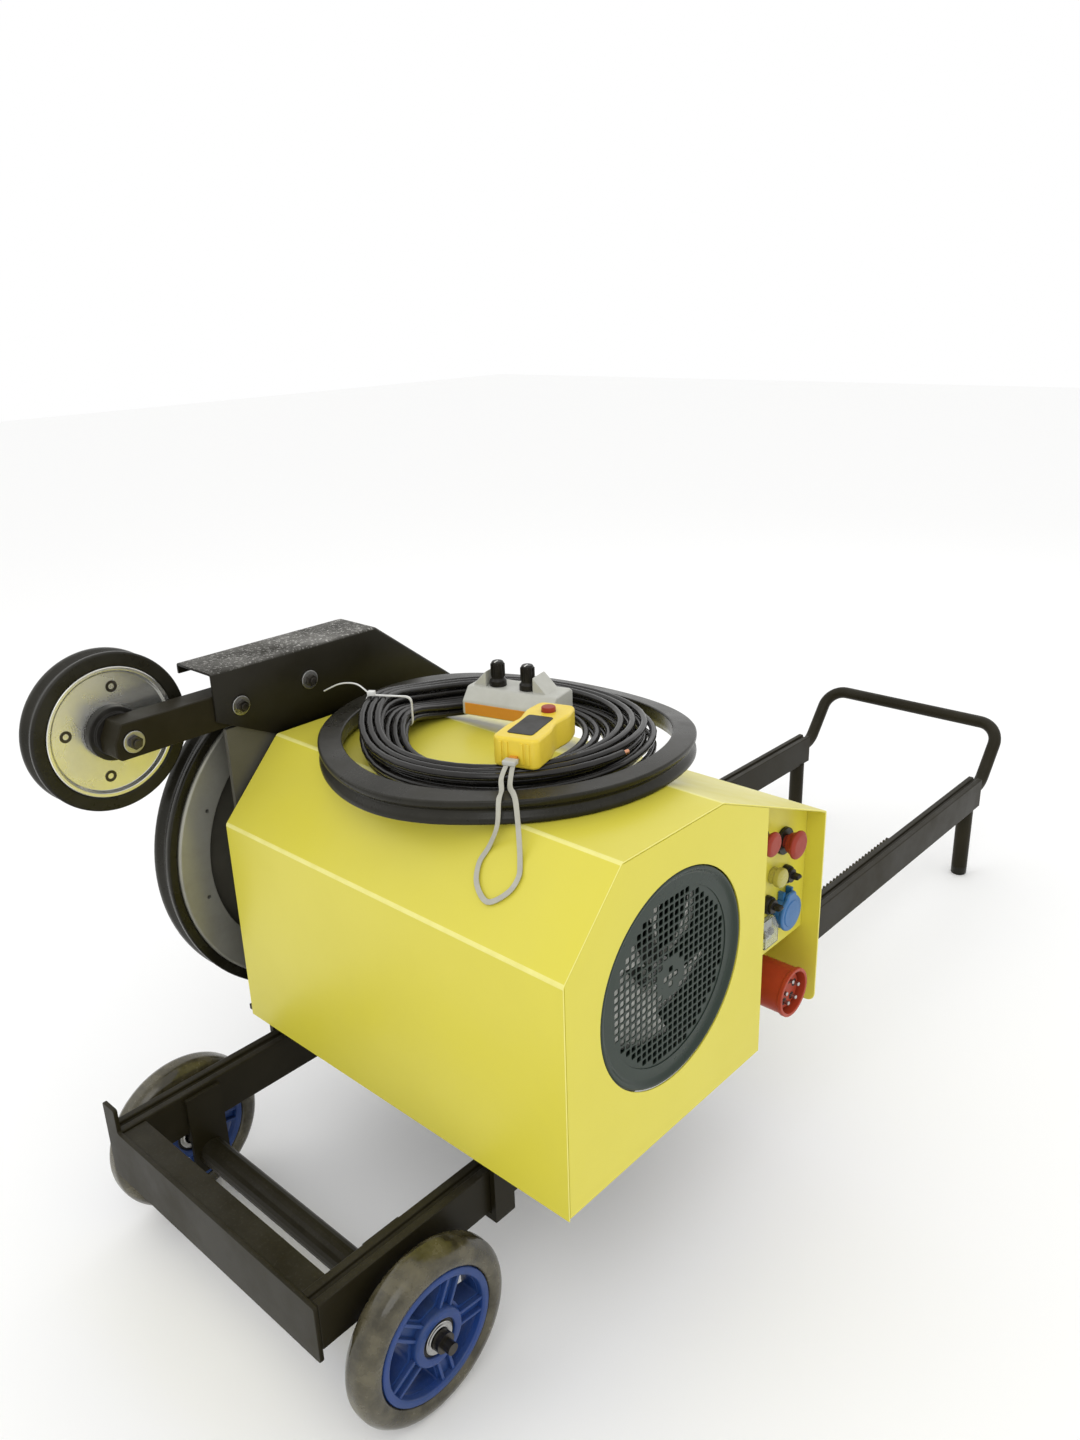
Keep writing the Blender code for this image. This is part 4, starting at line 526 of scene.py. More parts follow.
def thicken(shape, vec):
    """A flat sheet made solid."""
    grown = bmesh.ops.extrude_face_region(shape, geom=shape.faces[:])["geom"]
    moved = [item for item in grown if isinstance(item, bmesh.types.BMVert)]
    bmesh.ops.translate(shape, verts=moved, vec=vec)
    bmesh.ops.recalc_face_normals(shape, faces=shape.faces)


def pierced(loops, axis, start, depth):
    """A plate with holes: its outline and the loops cut out of it."""
    shape = bmesh.new()
    edges = []
    for loop in loops:
        corners = [shape.verts.new(point_on(axis, start, a, b)) for a, b in loop]
        edges += [shape.edges.new(pair) for pair in zip(corners, corners[1:] + corners[:1])]
    bmesh.ops.triangle_fill(shape, use_beauty=True, edges=edges, normal=point_on(axis, 1, 0, 0))
    thicken(shape, point_on(axis, depth, 0, 0))
    return shape


def joined(*shapes):
    whole = bmesh.new()
    for shape in shapes:
        mesh = bpy.data.meshes.new("part")
        shape.to_mesh(mesh)
        shape.free()
        whole.from_mesh(mesh)
        bpy.data.meshes.remove(mesh)
    return whole


def skin(outer, thickness):
    """A closed outline: an open line and the same line moved to its right by a thickness."""
    points = [Vector(p) for p in outer]
    inner = []
    for number, point in enumerate(points):
        before = points[max(0, number - 1)]
        after = points[min(len(points) - 1, number + 1)]
        along = (after - before).normalized()
        inner.append((point.x + along.y * thickness, point.y - along.x * thickness))
    return [tuple(p) for p in points] + inner[::-1]


def to_object(name, shape, material):
    mesh = bpy.data.meshes.new(name)
    shape.to_mesh(mesh)
    shape.free()
    mesh.shade_smooth()
    mesh.set_sharp_from_angle(angle=SHARP)
    mesh.materials.append(material)
    item = bpy.data.objects.new(name, mesh)
    bpy.context.collection.objects.link(item)
    return item


def carried(item, body="carriage", instead=()):
    """The body that an object rides on and the nodes that it stands for."""
    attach(item, body)
    if instead:
        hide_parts(*instead)
    return item


def piece(name, shape, material, body="carriage", instead=(), base=CARRIAGE, at=(0, 0, 0)):
    """A finished piece in the frame, with its shading evened out."""
    shifted(shape, base + Vector(at))
    item = to_object(name, shape, material)
    even = item.modifiers.new("normals", "WEIGHTED_NORMAL")
    even.keep_sharp = True
    return carried(item, body, instead)


def paint_edge_highlights(item, material, width):
    """The narrow faces along a sheet's folds and edges in a second, paler material: a painted highlight along
    them.
    """
    item.data.materials.append(material)
    for face in item.data.polygons:
        corners = [item.data.vertices[number].co for number in face.vertices]
        longest = max((a - b).length for a, b in zip(corners, corners[1:] + corners[:1]))
        if face.area < width * longest:
            face.material_index = 1


def carved(shape, cutters):
    """A shape with other shapes cut out of it."""
    whole = to_object("carved", shape, black_plastic)
    tool = to_object("cutter", joined(*cutters), black_plastic)
    cut = whole.modifiers.new("cut", "BOOLEAN")
    cut.object = tool
    mesh = bpy.data.meshes.new_from_object(whole.evaluated_get(bpy.context.evaluated_depsgraph_get()))
    result = bmesh.new()
    result.from_mesh(mesh)
    for item in (whole, tool):
        data = item.data
        bpy.data.objects.remove(item)
        bpy.data.meshes.remove(data)
    bpy.data.meshes.remove(mesh)
    return result


def smooth_path(points, steps):
    knots = [Vector(place) for place in points]
    ends = [2 * knots[0] - knots[1], *knots, 2 * knots[-1] - knots[-2]]
    path = []
    for a, b, c, d in zip(ends, ends[1:], ends[2:], ends[3:]):
        for step in range(steps):
            t = step / steps
            bend = 2 * b + (c - a) * t + (2 * a - 5 * b + 4 * c - d) * t * t
            path.append((bend + (3 * b - a - 3 * c + d) * t ** 3) / 2)
    path.append(knots[-1])
    return path


def rounded_path(corners, radius, steps):
    path = [Vector(corners[0])]
    for before, corner, after in zip(corners, corners[1:], corners[2:]):
        corner = Vector(corner)
        back = (Vector(before) - corner).normalized()
        ahead = (Vector(after) - corner).normalized()
        half = back.angle(ahead) / 2
        centre = corner + (back + ahead).normalized() * (radius / sin(half))
        reach = radius * cos(half) / sin(half)
        first = (corner + back * reach - centre).normalized()
        last = (corner + ahead * reach - centre).normalized()
        path += [centre + radius * first.slerp(last, step / steps) for step in range(steps + 1)]
    path.append(Vector(corners[-1]))
    return path


def tube(name, points, radius, material, resolution=4):
    curve = bpy.data.curves.new(name, "CURVE")
    curve.dimensions = "3D"
    curve.bevel_depth = radius
    curve.bevel_resolution = resolution
    curve.use_fill_caps = True
    spline = curve.splines.new("POLY")
    spline.points.add(len(points) - 1)
    for knot, place in zip(spline.points, points):
        knot.co = (*place, 1)
    spline.use_smooth = True
    curve.materials.append(material)
    item = bpy.data.objects.new(name, curve)
    bpy.context.collection.objects.link(item)
    return item


# Cords

def droop(y):
    """How far what lies on the roof has come down at a place from front to rear."""
    front = max(0, HOOD_TOP_FRONT - RING_HANG - y)
    rear = max(0, y - HOOD_TOP_REAR)
    return front ** 2 / (2 * FRONT_DROOP_RADIUS) + rear ** 2 / (2 * REAR_DROOP_RADIUS)


def smooth_step(share):
    share = min(1, max(0, share))
    return share * share * (3 - 2 * share)


def coil_points():
    reversals = np.cumsum(LOOPS_IN_LAYERS)
    points = []
    for step in range(POINTS_IN_LOOP * int(reversals[-1]) + 1):
        turn = step / POINTS_IN_LOOP
        layer = min(int(np.searchsorted(reversals, turn, side="right")), len(reversals) - 1)
        into_layer = turn - (reversals[layer] - LOOPS_IN_LAYERS[layer])
        inward = into_layer if layer % 2 == 0 else LOOPS_IN_LAYERS[layer] - into_layer
        level = sum(smooth_step(2 * (turn - change) + 0.5) for change in reversals[:-1])
        angle = 2 * pi * turn
        spread = (1 - cos(angle - TIE_ANGLE)) / 2
        radius = COIL_RADIUS - inward * (LOOP_PITCH + LOOP_SPREAD * spread)
        y = RING_Y + radius * sin(angle)
        lift = TIE_LIFT * max(0, cos(angle - TIE_ANGLE)) ** 8
        height = HOOD_TOP + CLEARANCE + CABLE_RADIUS + level * LOOP_PITCH + lift - droop(y)
        points.append(CARRIAGE + Vector((RING_X + radius * cos(angle), y, height)))
    return points


def add_cable(tie):
    points = coil_points()
    cable = tube("control_cable", points, CABLE_RADIUS, cable_black)
    carried(cable, instead=("cable_coil",))
    end, along = points[-1], (points[-1] - points[-2]).normalized()
    tip = tube("cable_cores", [end, end + BARE_TIP * along], 0.6 * CABLE_RADIUS, copper)
    carried(tip)


PENDANT = Vector((0.397, 0.206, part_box("pendant_body")[0].z - CARRIAGE.z))
PENDANT_TURN = radians(17.5)
STRAP_POINTS = (
    (0.4400, 0.1110, 0.4485), (0.4560, 0.1000, 0.4455), (0.4690, 0.0900, 0.4400), (0.4810, 0.0800, 0.4130),
    (0.4920, 0.0690, 0.3850), (0.5000, 0.0570, 0.3725), (0.4960, 0.0430, 0.3580), (0.4760, 0.0310, 0.3450),
    (0.4510, 0.0400, 0.3550), (0.4400, 0.0560, 0.3715), (0.4430, 0.0700, 0.3875), (0.4535, 0.0740, 0.4150),
    (0.4520, 0.0800, 0.4440), (0.4420, 0.0950, 0.4475), (0.4250, 0.1130, 0.4530),
)
STRAP_WIDTH = 0.0066
STRAP_THICKNESS = 0.0014
STRAP_SECTION = ((1, 0.4), (0.9, 1), (-0.9, 1), (-1, 0.4), (-1, -0.4), (-0.9, -1), (0.9, -1), (1, -0.4))
STRAP_FACE = Vector((0.05, -0.72, 0.69))


def strap_route():
    turn = Matrix.Rotation(PENDANT_TURN, 3, "Z")
    ends = []
    for side in (1, -1):
        out = Vector((side * 0.0035, -0.0656, 0.0125))
        ends.append([PENDANT + turn @ out, PENDANT + turn @ (out - Vector((0, 0.008, 0)))])
    route = [*ends[0], *STRAP_POINTS, *reversed(ends[1])]
    return [CARRIAGE + place for place in smooth_path(route, 6)]


def add_lanyard():
    path = strap_route()
    shape = bmesh.new()
    rings = []
    for number, place in enumerate(path):
        along = (path[min(number + 1, len(path) - 1)] - path[max(number - 1, 0)]).normalized()
        across = along.cross(STRAP_FACE).normalized() * STRAP_WIDTH / 2
        up = across.cross(along).normalized() * STRAP_THICKNESS / 2
        rings.append([shape.verts.new(place + a * across + b * up) for a, b in STRAP_SECTION])
    count = len(STRAP_SECTION)
    for first, second in zip(rings, rings[1:]):
        for number in range(count):
            after = (number + 1) % count
            shape.faces.new((first[number], first[after], second[after], second[number]))
    shape.faces.new(rings[0][::-1])
    shape.faces.new(rings[-1])
    bmesh.ops.recalc_face_normals(shape, faces=shape.faces)
    strap = to_object("lanyard_strap", shape, webbing)
    carried(strap, instead=("lanyard",))


# Hood and guard

def roof_height(y):
    return float(np.interp(y, (0, HOOD_TOP_FRONT, HOOD_TOP_REAR, HOOD.y),
                           (HOOD_FRONT, HOOD_TOP, HOOD_TOP, HOOD_REAR)))


def at_lower_corner(place):
    return place.x > HOOD.x - SHEET and place.y > HOOD.y - 2 * SHEET and place.z < SHEET


def add_hood():
    """A folded sheet with a pale painted highlight along its folds and edges, and one rounded lower corner.
    """
    line = ((0, 0), (0, HOOD_FRONT), (HOOD_TOP_FRONT, HOOD_TOP), (HOOD_TOP_REAR, HOOD_TOP),
            (HOOD.y, HOOD_REAR), (HOOD.y, 0))
    shell = prism(skin(eased(line, FOLD_RADIUS, 4), SHEET), "X", 0, HOOD.x)
    corner = [edge for edge in shell.edges if all(at_lower_corner(v.co) for v in edge.verts)]
    rounded_edges(shell, corner, HOOD_CORNER, 6)
    softened(shell, 0.0006, 1)
    hood = piece("hood_skin", shell, lemon, instead=("hood_shell",))
    # painted highlight: the narrow faces along the folds and edges get the paler lemon
    paint_edge_highlights(hood, lemon_edge_highlight, HIGHLIGHT_WIDTH)


def add_fan_end():
    """The plate around the cowl, with a wall down its rear edge."""
    low, high = (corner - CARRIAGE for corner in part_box("fan_end_plate"))
    top = roof_height(high.y) - UNDER_ROOF
    roof = HOOD_TOP - UNDER_ROOF
    outline = [(low.y, low.z), (high.y, low.z), (high.y, top), (HOOD_TOP_REAR, roof), (HOOD_TOP_FRONT, roof),
               (low.y, roof_height(low.y) - UNDER_ROOF)]
    opening = circle(COWL_RADIUS + CLEARANCE, 96, MOTOR[1:])
    plate = pierced((outline, opening), "X", high.x, -SHEET)
    wall = block((low.x, high.y - SHEET, low.z), (high.x - 0.0002, high.y - 0.0001, top), 0.0005, 1)
    piece("fan_end", joined(plate, wall), lemon, instead=("fan_end_plate",))


def add_guard():
    """A folded cover over the drive pulley, with a narrow lip down its far side."""
    near, far, front, bend, rear = -0.005, -0.090, 0.012, 0.293, 0.440
    top, low, lip = 0.520, 0.408, 0.015
    nose, foot = 0.452, 0.102
    panels = (
        ((near, front, nose), (near, foot, low), (near, rear, low), (near, bend, top), (near, front, top)),
        ((near, front, top), (near, bend, top), (far, bend, top), (far, front, top)),
        ((near, bend, top), (near, rear, low), (far, rear, low), (far, bend, top)),
        ((far, front, top), (far, bend, top), (far, bend, top - lip), (far, front, top - lip)),
        ((far, bend, top), (far, rear, low), (far, rear, low - lip), (far, bend, top - lip)),
    )
    shape = bmesh.new()
    corners = {}
    for panel in panels:
        for place in panel:
            if place not in corners:
                corners[place] = shape.verts.new(place)
        shape.faces.new([corners[place] for place in panel])
    folds = [edge for edge in shape.edges if len(edge.link_faces) == 2]
    rounded_edges(shape, folds, GUARD_FOLD, 4)
    cover = piece("guard_cover", shape, scuffed, instead=("guard",))
    wall = cover.modifiers.new("wall", "SOLIDIFY")
    wall.thickness = GUARD_SHEET
    wall.offset = -1
    wall.use_even_offset = True


# Motor cowl and fan

def grille_sheet():
    """Square cells in a round field, each with a hole, but for a blank ring about the middle."""
    shape = bmesh.new()
    half, flat, edge = GRILLE_HOLE / 2, GRILLE_HOLE * 0.33, GRILLE_PITCH / 2
    quarter = ((-flat, -half), (flat, -half))
    sides = [((a, b), (-b, a), (-a, -b), (b, -a))[turn] for turn in range(4) for a, b in quarter]
    for row, column in product(range(-12, 13), repeat=2):
        y, z = column * GRILLE_PITCH, row * GRILLE_PITCH
        reach = hypot(y, z)
        if reach > GRILLE_FIELD + GRILLE_PITCH:
            continue
        corners = [shape.verts.new((0, y + a * edge, z + b * edge))
                   for a, b in ((-1, -1), (1, -1), (1, 1), (-1, 1))]
        if reach > GRILLE_FIELD or GRILLE_BLANK[0] < reach < GRILLE_BLANK[1]:
            shape.faces.new(corners)
            continue
        hole = [shape.verts.new((0, y + a, z + b)) for a, b in sides]
        for number in range(4):
            after = corners[(number + 1) % 4]
            shape.faces.new((corners[number], after, hole[2 * number + 1], hole[2 * number]))
            shape.faces.new((after, hole[(2 * number + 2) % 8], hole[2 * number + 1]))
    bmesh.ops.remove_doubles(shape, verts=shape.verts, dist=1e-5)
    return shape


def add_cowl():
    """A fan cover whose face lies back inside a rounded rim, with a round field of square holes."""
    back, crest = (corner.x - CARRIAGE.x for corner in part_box("fan_cowl"))
    face, under = crest - COWL_RECESS, crest - COWL_RECESS - COWL_LAP
    bore, wall = GRILLE_FIELD + GRILLE_LAP, COWL_RADIUS - COWL_WALL
    slope_foot, slope_head = COWL_RADIUS - 0.010, COWL_RADIUS - 0.0055
    profile = ((face, bore), (face, slope_foot), (crest, slope_head), (crest, wall),
               (crest - 0.004, COWL_RADIUS),
               (back, COWL_RADIUS), (back, wall), (under, wall), (under, bore))
    piece("cowl_ring", hoop(profile, 0.0025, 96, 4), cowl_paint, instead=("fan_cowl",),
          at=MOTOR)
    grille = grille_sheet()
    thicken(grille, (-0.0014, 0, 0))
    piece("cowl_grille", grille, cowl_paint, at=(face - 0.0011, *MOTOR[1:]))


def add_fan():
    """A dark hub with broad twisted blades, behind the grille."""
    back, front = (corner.x - CARRIAGE.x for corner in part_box("motor_fan"))
    nose = front - 0.018
    hub = ((back, FAN_BORE), (back, FAN_HUB), (front - 0.022, FAN_HUB), (nose, 0.026), (nose, FAN_BORE))
    piece("fan_hub", hoop(hub, 0.003, 48), black_plastic, "rotor", ("motor_fan",), at=MOTOR)
    middle, depth, taper = back + 0.021, 0.036, 0.010
    sweep, chord = 22, 52
    blades = []
    for number in range(FAN_BLADES):
        blade = bmesh.new()
        bmesh.ops.create_grid(blade, x_segments=8, y_segments=8, size=0.5)
        for corner in blade.verts:
            share, out = corner.co.x, corner.co.y + 0.5
            angle = radians(number * 360 / FAN_BLADES + sweep * out + chord * share)
            along = middle + (depth - taper * out) * share
            corner.co = (along, *polar(FAN_ROOT + FAN_SPAN * out, angle))
        blades.append(blade)
    fan = piece("fan_blades", joined(*blades), fan_grey, "rotor", at=MOTOR)
    sheet = fan.modifiers.new("sheet", "SOLIDIFY")
    sheet.thickness = 0.002


# Pulleys and arm

def pulley_tyre(seat, radius, near, far, steps):
    middle = (near + far) / 2
    shoulder = (near - far) * 0.3
    groove = radius - 0.006
    profile = ((near, seat), (near, radius), (middle + shoulder, radius), (middle, groove),
               (middle - shoulder, radius), (far, radius), (far, seat))
    return hoop(profile, 0.003, steps)


def add_drive_pulley():
    inner, outer = 0.197, 0.246
    near, far = -0.055, -0.095
    rim = ((near, inner), (near, outer - 0.0025), (near - 0.0025, outer), (far, outer), (far, inner))
    holes = []
    hole_circle, first_hole = 0.211, radians(154.8)
    for spot in circle(hole_circle, 10, turn=first_hole):
        holes.append(shifted(rod("X", 0.0033, -0.075, -0.050, 16, 0), (0, *spot)))
    face = carved(hoop(rim, 0.0015, 128), holes)
    piece("drive_rim_face", face, aluminium, "rotor", ("drive_rim",), at=MOTOR)
    bore, boss, web = 0.0193, 0.050, inner - 0.0005
    hub = ((-0.058, bore), (-0.058, boss), (-0.071, boss), (-0.071, web), (-0.083, web), (-0.083, boss),
           (-0.086, boss), (-0.086, bore))
    piece("drive_web", hoop(hub, 0.002, 96), grey_steel, "rotor", ("drive_hub",), at=MOTOR)
    tyre = pulley_tyre(outer + CLEARANCE, 0.261, -0.058, -0.098, 128)
    piece("drive_belt", tyre, rubber, "rotor", ("drive_tyre",), at=MOTOR)


def countersunk(radius, depth):
    """A screw head let into a face at x = 0, with a hexagon socket."""
    socket, floor = 0.42 * radius, -0.7 * depth
    profile = ((-depth, 0), (-depth, 0.55 * radius), (0, radius), (0, 0.5 * radius), (floor, socket),
               (floor, 0))
    return turned(profile, "X", 24)


def add_guide_pulley():
    bore, rim = 0.0143, 0.087
    face, lip, far = -0.066, -0.0603, -0.093
    disc = ((face, bore), (face, 0.079), (lip, 0.0817), (lip, rim), (far, rim), (far, 0.079),
            (-0.078, 0.075), (-0.078, bore))
    piece("guide_face", hoop(disc, 0.0012, 112), guide_metal, "guide_pulley",
          ("guide_disc",), at=GUIDE)
    tyre = pulley_tyre(rim + CLEARANCE, 0.106, -0.060, -0.096, 112)
    piece("guide_belt", tyre, rubber, "guide_pulley", ("guide_tyre",), at=GUIDE)
    axle, boss, flange = 0.0095, 0.0288, 0.036
    top, step, foot, tail = -0.0498, -0.0530, -0.0657, -0.078
    hub = ((top, axle), (top, boss), (step, boss), (step, flange), (foot, flange), (foot, 0.014),
           (tail, 0.014),
           (tail, axle))
    piece("guide_flange", hoop(hub, 0.0015, 48), black_plastic, "guide_pulley",
          ("guide_hub",),
          at=GUIDE)
    screw_circle, first_screw = 0.060, radians(80)
    screws = [shifted(countersunk(0.0078, 0.003), (face + 0.0005, *spot))
              for spot in circle(screw_circle, 4, turn=first_screw)]
    piece("guide_screws", joined(*screws), dark_steel, "guide_pulley", at=GUIDE)


def washer(radius, thickness):
    return lathed(((0, 0), (0, radius), (thickness, radius), (thickness, 0)), 0.0008, 40)


def bolt_head(radius, start, end):
    """A hexagon head with the end of its thread."""
    head = softened(prism(circle(radius, 6, turn=0.3), "X", start, end), 0.0008)
    return joined(head, rod("X", radius * 0.52, end, end + 0.0025, 20))


def add_arm():
    low, high, tip, root = 0.439, 0.487, -0.130, 0.210
    outline = ((tip, low + 0.006), (tip + 0.006, low), (root, low), (root, high), (tip + 0.012, high),
               (tip, high - 0.024))
    arm = softened(prism(outline, "X", -0.0493, -0.0093), 0.002, 3)
    piece("arm_tube", arm, black_paint, instead=("guide_arm",))
    spots = (((-0.0087, *GUIDE[1:]), 0.0145, 0.0095, ("guide_axle",)),
             ((-0.0048, 0.050, 0.466), 0.0135, 0.0085, ()),
             ((-0.0048, 0.165, 0.472), 0.0135, 0.0085, ()))
    thick, proud = 0.003, 0.009
    for number, (place, ring, head, instead) in enumerate(spots, 1):
        seat = washer(ring, thick)
        piece(f"arm_washer_{number}", seat, bare_steel, instead=instead, at=place)
        piece(f"arm_bolt_{number}", bolt_head(head, thick, proud), dark_steel, at=place)


# Trolley

def add_rails():
    half, tall, groove, deep = 0.015, 0.064, 0.004, 0.005
    outline = ((-half, 0), (half, 0), (half, tall), (groove, tall), (groove, tall - deep),
               (-groove, tall - deep),
               (-groove, tall), (-half, tall))
    leg_y, leg_radius, inward = 1.532, 0.0165, 0.0023
    for name, x, leg_x in (("far_rail", FAR_RAIL, FAR_RAIL + inward),
                           ("near_rail", NEAR_RAIL, NEAR_RAIL - inward)):
        rail = softened(prism(eased(outline, 0.0022, 3, closed=True), "Y", RAIL_FRONT, RAIL_REAR), 0.0006, 1)
        piece(f"{name}_tube", rail, black_paint, "trolley", (name,), TROLLEY,
              (x, 0, RAIL_FLOOR))
        leg = rod("Z", leg_radius, 0.018, 0.157, 32, 0.001)
        tip = lathed(((0, 0), (0, 0.0162), (0.020, 0.0167), (0.020, 0)), 0.003, 32, axis="Z")
        piece(f"{name}_leg", leg, black_paint, "trolley", (), TROLLEY, (leg_x, leg_y, 0))
        piece(f"{name}_leg_tip", tip, rubber, "trolley", (), TROLLEY, (leg_x, leg_y, 0.0002))


def add_front():
    """The front plate with its end stop, and a flange behind its upper edge."""
    low, top, stop = 0.140, 0.220, 0.256
    near, far, step = 0.455, 0.005, 0.035
    outline = ((far, low), (near, low), (near, top), (step, top), (step, stop), (far, stop))
    plate = softened(prism(eased(outline, 0.004, 3, closed=True), "Y", -0.2393, -0.2333), 0.0012)
    flange = block((step + 0.0003, -0.2363, top - 0.009), (0.4247, -0.1993, top - 0.003), 0.0015)
    piece("front_plate", joined(plate, flange), black_paint, "trolley", ("front_crossmember",),
          TROLLEY)


def add_handle():
    end, bend, bar = 1.5653, 1.592, 1.680
    low, high = 0.196, 0.306
    side = ((end, low), (bend, low), (bar, high))
    corners = [(NEAR_RAIL, y, z) for y, z in side] + [(FAR_RAIL, y, z) for y, z in reversed(side)]
    path = [TROLLEY + place for place in rounded_path(corners, 0.045, 10)]
    handle = tube("handle_tube", path, 0.0135, black_paint, 6)
    carried(handle, "trolley", ("push_handle",))


def wheel_opening(middle):
    """One gap between two spokes, centred on an angle."""
    outer, inner = radians(25.5), radians(16)
    outline = [polar(0.0712, middle + a) for a in np.linspace(-outer, outer, 7)]
    outline += [polar(0.0405, middle + a) for a in np.linspace(inner, -inner, 3)]
    return prism(eased(outline, 0.005, 4, closed=True), "X", -0.02, 0.02)


def add_wheel(side):
    """A blue hub with five grooved spokes, a bearing and a dirty solid tyre."""
    body = f"{side}_wheel"
    low, high = (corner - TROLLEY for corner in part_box(f"{side}_wheel_hub"))
    centre, half = (low + high) / 2, (high.x - low.x) / 2
    rim_edge, boss_edge, web_face = half - 0.0025, half - 0.004, half - 0.011
    rim, lip, waist = 0.0829, 0.073, 0.0705
    boss, shoulder, bore = 0.034, 0.0365, 0.0240
    rim_profile = ((-rim_edge, lip), (-rim_edge, rim), (rim_edge, rim), (rim_edge, lip), (0.004, waist),
                   (-0.004, waist))
    boss_profile = ((-half, bore), (-half, boss), (-boss_edge, shoulder), (boss_edge, shoulder), (half, boss),
                    (half, bore))
    parts = [hoop(outline, 0.003, 72) for outline in (rim_profile, boss_profile)]
    openings = []
    for number in range(WHEEL_SPOKES):
        middle = FIRST_OPENING + 2 * pi * number / WHEEL_SPOKES
        openings.append(wheel_opening(middle))
        for offset, face in product((-0.0085, 0.0085), (-1, 1)):
            rib = block((-0.0035, offset - 0.0022, boss), (0.0035, offset + 0.0022, 0.0745), 0.0012)
            shifted(rib, (face * (half - 0.0085), 0, 0))
            parts.append(spun(rib, "X", middle + pi / WHEEL_SPOKES - pi / 2))
    web_profile = ((-web_face, 0.0235), (-web_face, 0.0750), (web_face, 0.0750), (web_face, 0.0235))
    web = carved(turned(web_profile, "X", 72, ring=True), openings)
    parts.append(softened(web, 0.0015))
    piece(f"{side}_hub_spokes", joined(*parts), blue_hub, body, (f"{side}_wheel_hub",),
          TROLLEY, centre)
    seat, crown = 0.0833, 0.113
    right = ((half - 0.0025, seat), (half, 0.094), (half - 0.003, 0.1055), (0.009, crown - 0.0003))
    tread = [(-x, radius) for x, radius in right] + [(0, crown)] + list(reversed(right))
    piece(f"{side}_tread", hoop(tread, 0.006, 96, 4), tyre_rubber, body, (f"{side}_wheel_tyre",),
          TROLLEY, centre)
    add_bearings(side, body, half, centre)


def add_bearings(side, body, half, centre):
    """A shielded bearing at each end of a wheel's hub, with a black ring sunk around it as painted shade for
    the gap between bearing and hub.
    """
    face, dip = half - 0.0010, half - 0.0018
    bearing = ((0, 0.0135), (0, 0.0203), (half - 0.0015, 0.0203), (face, 0.0195), (dip, 0.0185),
               (dip, 0.0155), (face, 0.0145), (face, 0.0135))
    # painted shade: a sunk black ring stands in for the shade in the gap around the bearing
    gap_shade = ((0, 0.0202), (0, 0.0241), (half - 0.004, 0.0241), (half - 0.004, 0.0202))
    for name, profile, material, slot in ((f"{side}_bearing", bearing, bare_steel, "bare_steel"),
                                          (f"{side}_bearing_gap_shade", gap_shade, black_plastic, "black_plastic")):
        ends = [turned([(end * along, radius) for along, radius in profile], "X", 48, ring=True)
                for end in (-1, 1)]
        piece(name, joined(*ends), material, body, (), TROLLEY, centre)


# Controls

PANEL_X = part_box("control_panel")[1].x - CARRIAGE.x


def on_panel(node):
    """The place on the panel's face behind the middle of a control."""
    low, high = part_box(node)
    middle = (low + high) / 2 - CARRIAGE
    return Vector((PANEL_X, middle.y, middle.z))


def add_push(name, radius, reach):
    """A red mushroom head that flares out over a black collar."""
    place = on_panel(f"{name}_head")
    bore, top, back = 0.0095, 0.006, 0.0108
    collar = ((CLEARANCE, bore), (CLEARANCE, radius - 0.0005), (top, radius - 0.0008), (top, bore))
    piece(f"{name}_collar_ring", hoop(collar, 0.0010, 48), black_plastic,
          instead=(f"{name}_collar",), at=place)
    head = ((back, 0), (back, 0.68 * radius), (0.0140, 0.72 * radius), (reach - 0.0085, 0.86 * radius),
            (reach - 0.0060, radius), (reach - 0.0030, radius), (reach, 0.80 * radius), (reach, 0))
    cap = joined(lathed(head, 0.0024, 48, 4), rod("X", 0.009, 0.0048, 0.0115, 28))
    piece(f"{name}_cap", cap, red, name, (f"{name}_head",), at=place)


def add_bezel(name, radius, material):
    bore, top = 0.0105, 0.0095
    profile = ((CLEARANCE, bore), (CLEARANCE, radius), (top - 0.003, radius), (top, radius - 0.001),
               (top, bore))
    piece(f"{name}_ring", hoop(profile, 0.0006, 40), material, instead=(name,), at=on_panel(name))


def add_controls():
    add_push("estop", 0.020, 0.0280)
    add_push("stop", 0.017, 0.0255)
    add_bezel("button_bezel", 0.0118, pale_yellow)
    stem, back, skirt, bore, radius = 0.0098, 0.0129, 0.0090, 0.0123, 0.0138
    profile = ((back, 0), (back, bore), (skirt, bore), (skirt, radius), (0.0165, radius), (0.0192, 0.0100),
               (0.0198, 0))
    button = joined(lathed(profile, 0.0020, 40, 5), rod("X", stem, 0.0038, 0.0135, 32))
    piece("start_cap", button, pale_yellow, "start", ("yellow_button",),
          at=on_panel("button_bezel"))
    root, tip = 0.012, 0.0245
    upper = ((root, 0.0036), (tip - 0.0023, 0.0033), (tip, 0.0012))
    outline = [(x, -z) for x, z in upper] + list(reversed(upper))
    for number in (1, 2):
        add_bezel(f"selector_bezel_{number}", 0.0128, black_plastic)
        grip = softened(prism(outline, "Y", -0.0035, 0.0065), 0.0012)
        lever = joined(rod("X", stem, 0.0008, 0.0136, 32), grip)
        piece(f"selector_grip_{number}", lever, black_plastic, f"selector_{number}",
              (f"selector_lever_{number}",), at=on_panel(f"selector_bezel_{number}"))


